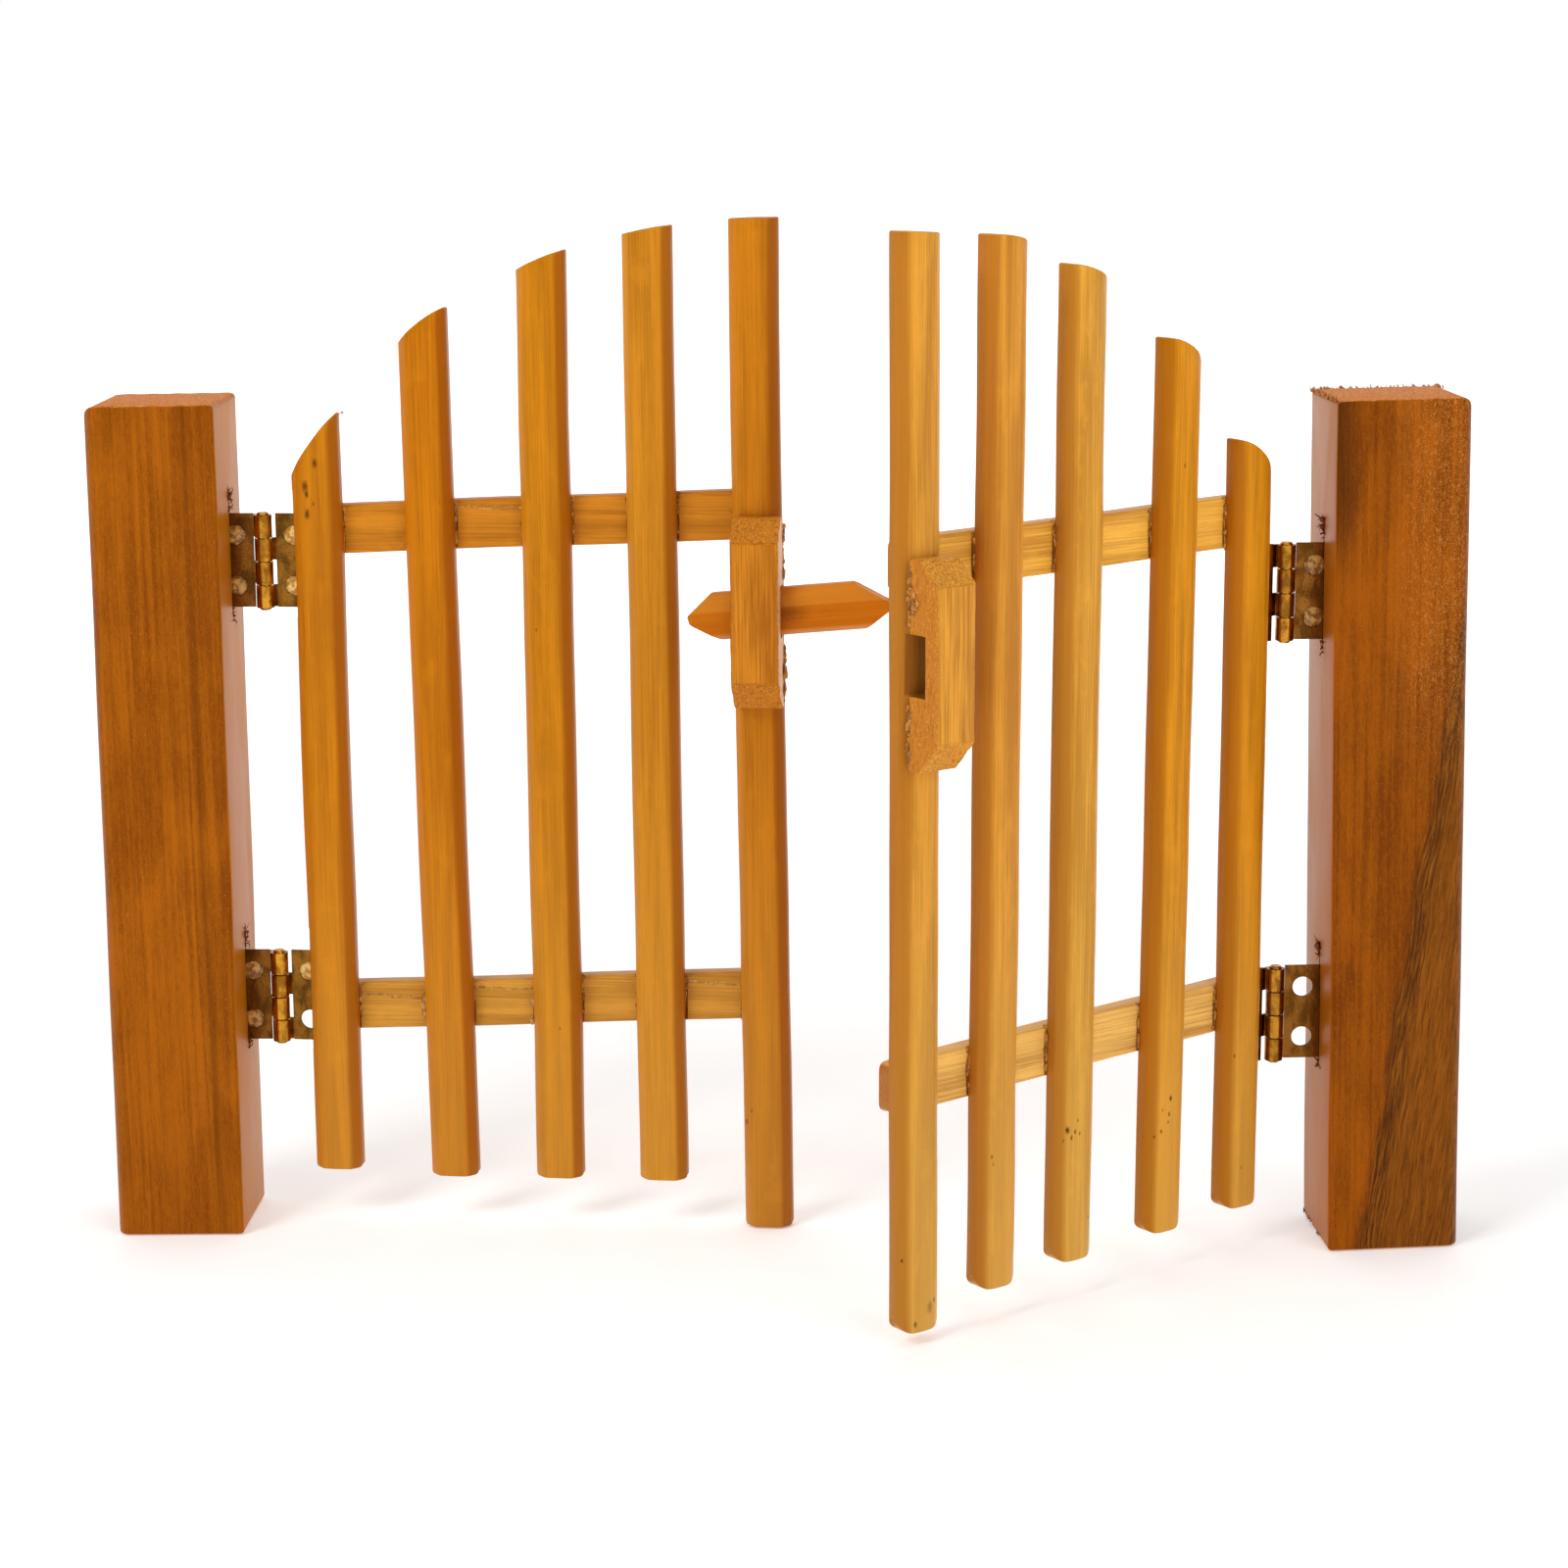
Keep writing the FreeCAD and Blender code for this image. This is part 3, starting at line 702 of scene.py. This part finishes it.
# notches in the foot of the right post's inner side: distance from the back, width and height in mm
CHIPS = ((-0.5, 3.2, 1.3), (4.6, 4.2, 1.1), (11.4, 3.6, 0.8))
for side, joint, out in (("left", HL, 1), ("right", HR, -1)):
    node = f"{side}_post"
    local = post_frame(node)
    p = points(node, local)
    tall = p[:, 2].max()
    base, crown = p[p[:, 2] < 0.1], p[p[:, 2] > tall - 0.1]
    x0, x1, y0, y1 = base[:, 0].min(), base[:, 0].max(), base[:, 1].min(), base[:, 1].max()
    leanx = (crown[:, 0].min() - x0) / tall
    leany = (crown[:, 1].max() - y1) / tall
    worn_left = side == "left"

    def edge(q):
        return np.minimum(q - x0, x1 - q)

    def front(q):
        return y0 + rounded(edge(q), np.where((q - x0 < x1 - q) == worn_left, 2.2, 0.7))

    def backside(q):
        return y1 - rounded(edge(q), 0.8)

    def low(q):
        return rounded(edge(q), 0.3)

    def high(q):
        worn, kept = (q - x0, x1 - q) if worn_left else (x1 - q, q - x0)
        return tall - rounded(worn, 1.7) - rounded(kept, 0.5) + 0.04 * np.sin(q * 1.3)

    def place(a, b, c):
        return (a + leanx * c, b + leany * c, c)

    u = stations(x0, x1, 2.4, 26)
    seed = 50 + (side == "right")
    obj = plank(node + "_timber", local, place, u, front, backside, low, high, 90, 0.15, seed, 0.5)
    turn = math.degrees(math.atan2(local[1][0], local[0][0]))
    pin = turned(Vector(joint["pos_m"]), upright(joint["axis"]), turn, -out)
    POST[side] = local, pin, (x0, x1, y0, y1, leanx, leany, tall)
    saw_kerfs(obj, side, "post", pin, 0.5)
    if side == "right":
        for deep, wide, high in CHIPS:
            cut(obj, (x0 - 1, y1 - deep - wide, -1), (x0 + 1.6, y1 - deep, high), local)
    smooth(obj.data, 40)
    if side == "left":
        mat = timber(node + "_stain", 1, *tones(150, 79, 7, 0.34), 1, False)
    else:
        mat = timber(node + "_stain", 2, *tones(135, 67, 4, 0.42), -1, True, y0)
    dress(obj, local, [0, 1, 2], mat, "posts")
    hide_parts(node)


# ---------------------------------------------------------------- latch
slide = Vector(JOINT["bolt_slide"]["axis"]).normalized()
lo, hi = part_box("latch_bolt")
bolt_up = (upright(HL["axis"]) - slide * slide.dot(upright(HL["axis"]))).normalized()
bolt_local = frame_on((lo + hi) / 2, bolt_up, slide, 1)
bolt = points("latch_bolt", bolt_local)
half = (bolt[:, 2].max() - bolt[:, 2].min()) / 2
back_y, front_y = bolt[:, 1].max(), bolt[:, 1].min()
middle = (bolt[:, 2].max() + bolt[:, 2].min()) / 2

BLOCK = {}
# depth of the bevels at the blocks' ends and of the keeper's slot, in mm
KNEE = 4.7
KEEPER_SLOT = 4.5
BLOCK_TONES = {"left": (194, 121, 30), "right": (206, 140, 48)}
for node, side, seed in (("latch_guide_block", "left", 1), ("latch_keeper_block", "right", 2)):
    local = LEAF[side]
    p = points(node, local)
    near, far, foot, top = p[:, 0].min(), p[:, 0].max(), p[:, 2].min(), p[:, 2].max()
    y0, y1 = p[:, 1].min(), p[:, 1].max()
    fronts = p[p[:, 1] < y0 + 0.4]
    top_bevel = top - fronts[:, 2].max() + 0.1
    foot_bevel = fronts[:, 2].min() - foot + 0.1
    BLOCK[side] = near, far, foot, top, y1

    def edge(q):
        return np.minimum(q - y0, y1 - q)

    def front(q):
        return near + rounded(edge(q), 0.45) + 0.05 * np.sin(q * 2.1 + seed)

    def backside(q):
        return far - rounded(edge(q), 0.45) + 0.05 * np.sin(q * 1.7 + 2 * seed)

    def low(q):
        d = np.clip((q - y0) / KNEE, 0, 1)
        return foot + foot_bevel * (1 - d) + rounded(edge(q), 0.3)

    def high(q):
        d = np.clip((q - y0) / KNEE, 0, 1)
        return top - top_bevel * (1 - d) - rounded(edge(q), 0.3)

    def place(a, b, c):
        k = 0.09 * noise.noise(Vector((a * 0.6, b * 0.6, c * 0.3 + seed * 9)))
        return (b + k, a + k * (1 if a < y1 - 0.6 else 0), c)

    u = stations(y0, y1, 1.0, 16)
    obj = plank(node + "_worked", local, place, u, front, backside, low, high, 46, 0.12, 60 + seed)
    if side == "left":
        # the channel that the bolt slides in
        into = local @ (local.inverted() @ bolt_local)
        cut(obj, (-30, front_y - 0.6, middle - half - 0.4), (30, back_y + 0.44, middle + half + 0.4), into)
        # the guide block's side towards +across gets a painted highlight
        painted_slot_shade, pale = None, 0.8
    else:
        heights = np.unique(np.round(p[p[:, 1] > y1 - 0.05][:, 2], 2))
        slot = [z for z in heights if foot + 6 < z < top - 6]
        cut(obj, (0, y1 - KEEPER_SLOT, min(slot)), (120, y1 + 0.5, max(slot)), local)
        # the keeper's slot is darkened with painted shade
        painted_slot_shade, pale = (min(slot), max(slot), y1 - KEEPER_SLOT), 0
    smooth(obj.data, 30)
    mat = blockwood(node + "_wood", seed, *tones(*BLOCK_TONES[side], 0.3), painted_slot_shade, pale)
    dress(obj, local, [0, 1, 2], mat, BODY[side])
    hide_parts(node)

u = stations(-half, half, 1.7, 14)


def edge(q):
    return half - np.abs(q)


def front(q):
    up_cut = np.clip(1.6 - (half - q), 0, 1.6) * 0.6
    down_cut = np.clip(1.0 - (half + q), 0, 1.0)
    return front_y + up_cut + down_cut + rounded(edge(q), 0.3)


def backside(q):
    return back_y - rounded(edge(q), 0.3)


def low(q):
    return np.interp(q, [-half, -1.2, 0.5, half], [-13.3, -18.7, -19.1, -14.5]) + rounded(edge(q), 0.5)


def high(q):
    return np.interp(q, [-half, -1.4, 0.45, half], [14.6, 19.1, 19.1, 12.8]) - rounded(edge(q), 0.5)


def place(a, b, c):
    return (c, b, a + middle)


obj = plank("latch_bolt_worked", bolt_local, place, u, front, backside, low, high, 44, 0.15, 77)
smooth(obj.data, 30)
shades = tones(198, 108, 8, 0.12)
# painted light on the bolt: a lighter band on its upper facet and a pale lower bevel are painted highlights,
# and the mark is a darker patch of painted shadow near the guide block
bevel_highlights = [(middle + 0.9, middle + 9, 0.5, "DE9030"), (middle - 9, middle - 3.5, 0.6, "DE9C5C")]
mat = bamboo("latch_bolt_bamboo", 41, *shades, rail=True, marks=[(middle, 0.0, 3.4, 0.42)], painted_light_bands=bevel_highlights)
dress(obj, bolt_local, [2, 1, 0], mat, "bolt")
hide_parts("latch_bolt")

# ---------------------------------------------------------------- hinges
BRASS = {}
SHEET = {"left": ("86591F", "5A3911", "784A1A", "54310E", "C88F2D", "8E5C1B"),
         "right": ("8C6024", "603E14", "82521F", "5E3912", "B67F2A", "80531A")}
for n, (side, joint) in enumerate((("left", HL), ("right", HR))):
    leaf_light, leaf_dark, post_light, post_dark, *rolled = SHEET[side]
    BRASS[side, "leaf_plate"] = brass(f"brass_{side}_leaf", 1 + n, leaf_light, leaf_dark, joint, rolled)
    BRASS[side, "post_plate"] = brass(f"brass_{side}_post", 4 + n, post_light, post_dark, joint, rolled)
    BRASS[side, "pin"] = brass(f"brass_{side}_pin", 7 + n, "D8A840", "A87C30", joint)
for node, obj in frame["nodes"].items():
    if "hinge" in node:
        side, level, kind = node.replace("_hinge", "").split("_", 2)
        obj.data.materials.clear()
        obj.data.materials.append(BRASS[side, kind])

# ---------------------------------------------------------------- glue, splinters and painted shadow lines
# glue holes in mm: distance from the pin, distance up or down, radius, and depth of the plate's middle
HOLE_OUT, HOLE_UP, HOLE_RADIUS, PLATE_MIDDLE = 5.5, 4.85, 1.9, 1.45
BETWEEN_HINGES = 100
DICE = np.random.default_rng(11)


def roll(lo, hi):
    return float(DICE.uniform(lo, hi))


def gather(name, bm, mat, body):
    """Make one visible piece of everything collected in bm."""
    bmesh.ops.recalc_face_normals(bm, faces=bm.faces)
    mesh = bpy.data.meshes.new(name)
    bm.to_mesh(mesh)
    bm.free()
    mesh.materials.append(mat)
    smooth(mesh, 60)
    obj = new_object(name, mesh)
    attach(obj, body)


def bead(bm, local, centre, radii, uneven=0.4):
    """One uneven set drop, in local millimetres."""
    start = roll(0, 90)
    for v in bmesh.ops.create_icosphere(bm, subdivisions=2, radius=1)["verts"]:
        k = 1 + uneven * noise.noise(v.co * 1.3 + Vector((start, 2, 5)))
        v.co = local @ Vector([c + r * k * x for c, r, x in zip(centre, radii, v.co)])


def sliver(bm, local, root, tip, curl, thick):
    """One tapered splinter that curls on its way from root to tip."""
    root, tip, curl = Vector(root), Vector(tip), Vector(curl)
    along = (tip - root).normalized()
    side = along.orthogonal().normalized()
    over = along.cross(side)
    rings = []
    for k in range(5):
        mid = root.lerp(tip, k / 5) + curl * math.sin(math.pi * k / 5)
        r = thick * (1 - k / 5.5)
        turns = [math.tau * j / 5 for j in range(5)]
        ring = [mid + (side * math.cos(a) + over * math.sin(a)) * r for a in turns]
        rings.append([bm.verts.new(local @ v) for v in ring])
    end = bm.verts.new(local @ tip)
    bm.faces.new(rings[0][::-1])
    for a, b in zip(rings, rings[1:]):
        for j in range(5):
            bm.faces.new((a[j], a[(j + 1) % 5], b[(j + 1) % 5], b[j]))
    for j in range(5):
        bm.faces.new((rings[-1][j], rings[-1][(j + 1) % 5], end))


def resin(name, pale, deep):
    """Set glue: cloudy amber with darker flecks, glossy."""
    w = Wood(name)
    c = w.node("ShaderNodeTexCoord").outputs["Object"]
    cloud = w.noise(c, (900, 900, 900), 3, 0.6, 0.3)
    fleck = w.noise(c, (3200, 3200, 3200), 2, 0.6)
    col = w.mix(w.step(cloud, 0.4, 0.62), srgb(deep), srgb(pale))
    col = w.mix(w.step(fleck, 0.58, 0.68, 0, 0.5), col, srgb("8A4E14"))
    rough = w.step(cloud, 0.3, 0.7, 0.1, 0.25)
    return w.finish(col, rough, w.add(cloud, fleck), bump=0.5, coat=0.4, coat_rough=0.06,
                    tint=(1, 0.9, 0.7, 1))


def charred(name, light, dark):
    """Torn wood fibres: light or scorched, mottled."""
    w = Wood(name)
    c = w.node("ShaderNodeTexCoord").outputs["Object"]
    mottle = w.noise(c, (1500, 1500, 1500), 3, 0.7)
    return w.finish(w.mix(w.step(mottle, 0.4, 0.6), srgb(dark), srgb(light)), 0.6, mottle, bump=0.4)


AMBER = resin("glue_amber", "C88A34", "8A4C12")
CLEAR = resin("glue_in_hinge_holes", "F2CE78", "B87A28")
DULL = resin("glue_in_post_holes", "D29E52", "84501E")
# pale glue, whose tone also serves the painted glints on the left leaf's rails
GLUE_AND_GLINTS = resin("glue_runs", "DAA658", "A26C20")
SCORCH_AND_SHADOW = charred("torn_fibres_dark", "8A4218", "4A1E0A")
FUZZ = charred("torn_fibres_light", "C48A54", "8E5226")

hole_glue = {"left_leaf": bmesh.new(), "right_leaf": bmesh.new(), "posts": bmesh.new()}
joint_glue = {"left_leaf": bmesh.new(), "right_leaf": bmesh.new()}
# dark slivers along each picket's edges on the rails: painted shadow in the gap between picket and rail
dark_lines = {"left_leaf": bmesh.new(), "right_leaf": bmesh.new()}
torn = bmesh.new()
rail_glue_and_glints = bmesh.new()


def fill_holes(side, what, local, body, foot, top):
    """Glue in the two holes of a hinge plate. The right lower hinge keeps its holes open, and so does
    the lower hole of the left lower leaf plate."""
    for up in (-HOLE_UP, HOLE_UP):
        if top < BETWEEN_HINGES and (side == "right" or (what == "leaf" and up < 0)):
            continue
        bead(hole_glue[body], local, (HOLE_OUT, PLATE_MIDDLE, (foot + top) / 2 + up),
             (HOLE_RADIUS + 0.12, 0.5, HOLE_RADIUS + 0.12), 0.08)


def fray(side, pin, foot, top):
    """Torn fibres where the saw left a post's inner face: above and below the plate, and one clump."""
    inner = points(f"{side}_post", pin)
    near_foot, near_top = inner[inner[:, 2] < 20, 0].min(), inner[inner[:, 2] > CROWN_ABOVE, 0].min()
    tall = POST[side][2][-1]
    clump = (top + 2.4, 1.6, 4, 0.9)
    if side == "right" and top > BETWEEN_HINGES:
        clump = (top + 2.8, 1.8, 12, 2.2)
    for z, spread_z, count, reach in ((top + 0.4, 4.2, 14, 0.55), (foot - 0.3, -2.2, 8, 0.5), clump):
        for _ in range(count):
            h = z + roll(0, 1) * spread_z
            x = near_foot + (near_top - near_foot) * h / tall
            root = (x + 0.15, PLATE_MIDDLE + roll(-0.8, 0.8), h)
            tip = (x - roll(0.1, reach), root[1] + roll(-2.2, 2.2), h + roll(-1.5, 1.7))
            curl = (roll(-0.7, 0.0), roll(-0.8, 0.8), roll(-0.5, 0.5))
            sliver(torn, pin, root, tip, curl, roll(0.1, 0.24))


def crossing(side, k, share, level):
    """Where a line at a share of a picket's width crosses a rail's top, and the rail's height, in mm."""
    nb, wide, lean, low_nb = PICKET[side, k]
    start, _, z0, rise, tall = RAIL[side, level]
    z = z0 + rise * (nb + share * wide - start)
    return nb + share * wide + lean * (z - low_nb), z, tall


def glue_crossing(side, k, level):
    """Glue beads and a dark sliver of painted shadow in the gap along both edges of a picket on a rail, and
    beads below the rail.
    """
    body, local = BODY[side], LEAF[side]
    start, end = RAIL[side, level][:2]
    wide = PICKET[side, k][1]
    for share, out in ((0, -1), (1, 1)):
        x, z, tall = crossing(side, k, share, level)
        if not start + 0.5 < x < end - 2.2:
            continue
        for _ in range(7):
            centre = (x + out * roll(-0.15, 0.25), BEHIND - roll(-0.05, 0.35), z - roll(0.2, 1) * tall + 0.8)
            bead(joint_glue[body], local, centre, (roll(0.15, 0.4), roll(0.2, 0.45), roll(0.5, 1.6)))
        # painted shadow: a dark sliver in the gap at the picket's edge
        root = (x + out * 0.12, BEHIND - 0.12, z - tall + 0.4)
        tip = (x + out * roll(0.1, 0.5), BEHIND - 0.1, z - roll(0.3, 2.5))
        sliver(dark_lines[body], local, root, tip, (out * 0.1, -0.1, 0), roll(0.12, 0.22))
        centre = (x + out * 0.1, BEHIND + 0.2, z - roll(0, 1))
        bead(joint_glue[body], local, centre, (roll(0.3, 0.6), 0.5, roll(0.3, 0.7)))
    for _ in range(3):
        centre = (x - roll(1.9, wide - 1.9), BEHIND + 0.1, z - tall - 0.1)
        bead(joint_glue[body], local, centre, (roll(0.5, 1.3), 0.4, roll(0.2, 0.4)))


def glue_block(side):
    """Glue drops down both sides of a latch block, but for its middle."""
    near, far, foot, top, back = BLOCK[side]
    for x, out in ((near, -1), (far, 1)):
        for z in np.arange(foot + 1, top - 1, 1.1):
            if abs(z - (foot + top) / 2) > 6.5:
                centre = (x + out * roll(-0.1, 0.2), back - roll(0, 0.6), z)
                radii = (roll(0.15, 0.4), roll(0.25, 0.6), roll(0.5, 1.1))
                bead(joint_glue[BODY[side]], LEAF[side], centre, radii, 0.6)


for side in ("left", "right"):
    pin = POST[side][1]
    for foot, top in plate_heights(side, "leaf", LEAF[side]):
        fill_holes(side, "leaf", LEAF[side], BODY[side], foot, top)
    for foot, top in plate_heights(side, "post", pin):
        fill_holes(side, "post", pin, "posts", foot, top)
        fray(side, pin, foot, top)
    for k in range(1, 6):
        for level in ("upper", "lower"):
            glue_crossing(side, k, level)
    glue_block(side)

_, far, foot, _, back = BLOCK["left"]
for centre, radii in (((far + 0.2, back - 0.8, foot + 6.5), (0.6, 0.8, 1.5)),
                      ((far + 0.1, back - 0.7, foot + 3.5), (0.4, 0.6, 1.3))):
    bead(joint_glue["left_leaf"], LEAF["left"], centre, radii, 0.6)
_, far, _, top, back = BLOCK["right"]
for _ in range(9):
    centre = (far + 0.1, back - roll(0.3, 2.4), top - roll(4, 9))
    radii = (roll(0.2, 0.35), roll(0.25, 0.6), roll(0.25, 0.7))
    bead(joint_glue["right_leaf"], LEAF["right"], centre, radii, 0.6)

# smeared glue on the left leaf's rails, between picket k and the next, down mm below the rail's top. The
# beads between pickets 2 and 3 are painted highlights: glints on the lower rail and a highlight line along
# the top of the upper rail.
for level, k, down in (("lower", 1, 2.6), ("lower", 2, 1.6), ("lower", 4, 1.8), ("upper", 2, 1.4)):
    x, z, _ = crossing("left", k, 1, level)
    x_next = crossing("left", k + 1, 0, level)[0]
    for a in np.linspace(x + 0.4, x_next - 0.4, 9):
        centre = (a + roll(-0.3, 0.3), BEHIND + 0.05, z - down + roll(-0.35, 0.35))
        bead(rail_glue_and_glints, LEAF["left"], centre, (roll(0.5, 1.2), 0.16, roll(0.12, 0.3)), 0.5)
x, z, _ = crossing("left", 2, 0, "lower")
bead(rail_glue_and_glints, LEAF["left"], (x - 0.5, BEHIND + 0.05, z - 5), (0.8, 0.3, 2.9), 0.3)
x, z, _ = crossing("left", 3, 0, "lower")
bead(rail_glue_and_glints, LEAF["left"], (x - 0.2, BEHIND - 0.2, z - 4.6), (0.9, 0.5, 1.4), 0.5)
bead(rail_glue_and_glints, LEAF["left"], (x - 0.6, BEHIND - 0.1, z - 8.5), (0.5, 0.4, 1.0), 0.5)
gather("left_leaf_glue_runs", rail_glue_and_glints, GLUE_AND_GLINTS, "left_leaf")
for body, bm in hole_glue.items():
    gather(f"{body}_hinge_hole_glue", bm, DULL if body == "posts" else CLEAR, body)
for body, bm in joint_glue.items():
    gather(f"{body}_joint_glue", bm, AMBER, body)
for body, bm in dark_lines.items():
    gather(f"{body}_joint_shadow_lines", bm, SCORCH_AND_SHADOW, body)

# fibres over the chips in the right post's foot
local, _, (x0, x1, y0, y1, leanx, leany, tall) = POST["right"]
for deep, wide, high in CHIPS:
    for _ in range(6):
        root = (x0 + 0.4, y1 - deep - roll(0, wide), high + 0.15)
        tip = (x0 - roll(0, 0.25), root[1] + roll(-1.2, 1.2), high - roll(0.1, 0.9))
        sliver(torn, local, root, tip, (-0.15, roll(-0.3, 0.3), 0), roll(0.12, 0.25))
gather("post_kerf_splinters", torn, SCORCH_AND_SHADOW, "posts")

peak = points("left_picket_1", LEAF["left"])
peak = peak[peak[:, 2].argmax()]
bm = bmesh.new()
for _ in range(4):
    root = (peak[0] - 0.3, peak[1] + roll(0.2, 1.5), peak[2] - 0.5)
    tip = (peak[0] + roll(0.2, 0.9), root[1], peak[2] - roll(0.2, 1.1))
    sliver(bm, LEAF["left"], root, tip, (0.1, 0, 0.5), 0.16)
gather("left_picket_tip_splinter", bm, FUZZ, "left_leaf")

# fuzz along the back and the inner edge of the right post's top
bm = bmesh.new()
for _ in range(230):
    share = roll(0, 1)
    if roll(0, 1) < 0.65:
        x, y = x0 + share * (x1 - x0), y1 - roll(0, 0.4)
    else:
        x, y = x0 + roll(0, 0.4), y0 + share * (y1 - y0)
    root = (x + leanx * tall, y + leany * tall, tall - 0.55)
    tip = (root[0] + roll(-0.5, 0.3), root[1] + roll(-0.3, 0.5), tall + roll(0.1, 0.8))
    sliver(bm, local, root, tip, (roll(-0.2, 0.2), roll(-0.2, 0.2), 0), roll(0.1, 0.22))
gather("right_post_sawn_fuzz", bm, FUZZ, "posts")

# ---------------------------------------------------------------- floor, light, camera
FLOOR_HALF, FLOOR_DROP = 4, 0.0002
corners = [(x * FLOOR_HALF, y * FLOOR_HALF, -FLOOR_DROP) for x, y in ((-1, -1), (1, -1), (1, 1), (-1, 1))]
floor_mesh = bpy.data.meshes.new("floor")
floor_mesh.from_pydata(corners, [], [(0, 1, 2, 3)])
floor = new_object("floor", floor_mesh)
paper = Wood("floor_paper")
spot = paper.node("ShaderNodeTexCoord").outputs["Object"]
paper.finish(paper.ramp(paper.noise(spot, (60, 60, 60), 3), [(0.3, (0.93,) * 3), (0.7, (0.96,) * 3)]), 0.7)
paper.put(paper.bsdf.inputs["Emission Color"], (1, 1, 1, 1))
glow = paper.step(paper.vector("LENGTH", spot, out="Value"), 0.25, 0.9, 0.25, 0.75)
paper.put(paper.bsdf.inputs["Emission Strength"], glow)
floor_mesh.materials.append(paper.mat)

# the camera sees a plain white backdrop; the light that comes from it is dimmer in front than behind
world = bpy.data.worlds.new("studio")
bpy.context.scene.world = world
world.use_nodes = True
tree = world.node_tree
backdrop = tree.nodes["Background"]
backdrop.inputs["Color"].default_value = (1, 1, 1, 1)
seen = tree.nodes.new("ShaderNodeLightPath")
sky = tree.nodes.new("ShaderNodeTexCoord")
part = tree.nodes.new("ShaderNodeSeparateXYZ")
tree.links.new(sky.outputs["Generated"], part.inputs[0])
dim = tree.nodes.new("ShaderNodeMapRange")
dim.inputs["From Min"].default_value, dim.inputs["From Max"].default_value = -0.7, 0.7
dim.inputs["To Min"].default_value, dim.inputs["To Max"].default_value = 0.22, 0.85
tree.links.new(part.outputs["Y"], dim.inputs["Value"])
strength = tree.nodes.new("ShaderNodeMix")
strength.inputs[3].default_value = 1.0
tree.links.new(seen.outputs["Is Camera Ray"], strength.inputs[0])
tree.links.new(dim.outputs["Result"], strength.inputs[2])
tree.links.new(strength.outputs[0], backdrop.inputs["Strength"])


def softbox(name, place, target, size, watts):
    """A square area light of the given size in metres, turned to its target."""
    data = bpy.data.lights.new(name, "AREA")
    data.shape, data.size, data.energy = "SQUARE", size, watts
    obj = new_object(name, data)
    obj.location = place
    obj.rotation_mode = "QUATERNION"
    obj.rotation_quaternion = (Vector(target) - Vector(place)).to_track_quat("-Z", "Y")


softbox("key", (-0.45, -0.75, 0.95), (0.1, 0, 0.1), 0.5, 6.0)
softbox("fill", (0.85, -0.8, 0.6), (0.12, 0, 0.1), 0.7, 3.5)
softbox("top", (0.1, 0.1, 1.2), (0.11, 0, 0.1), 0.9, 1.9)

# sensor and lens in mm, place in metres, turns in radians
SENSOR, LENS = 36, 84.38535
CAMERA_PLACE = (0.209949, -0.673319, 0.229341)
YAW, PITCH, BANK = -0.1332, 0.2049, -0.0198
cam_data = bpy.data.cameras.new("camera")
cam_data.sensor_width, cam_data.lens = SENSOR, LENS
cam_data.clip_start, cam_data.clip_end = 0.01, 20
cam = new_object("camera", cam_data)
ahead = Vector((math.sin(YAW) * math.cos(PITCH), math.cos(YAW) * math.cos(PITCH), -math.sin(PITCH)))
right = Vector((math.cos(YAW), -math.sin(YAW), 0))
right = math.cos(BANK) * right - math.sin(BANK) * ahead.cross(right)
down = ahead.cross(right)
cam.matrix_world = Matrix((right, -down, -ahead)).transposed().to_4x4()
cam.location = CAMERA_PLACE
bpy.context.scene.camera = cam
bpy.context.scene.view_settings.view_transform = "Standard"
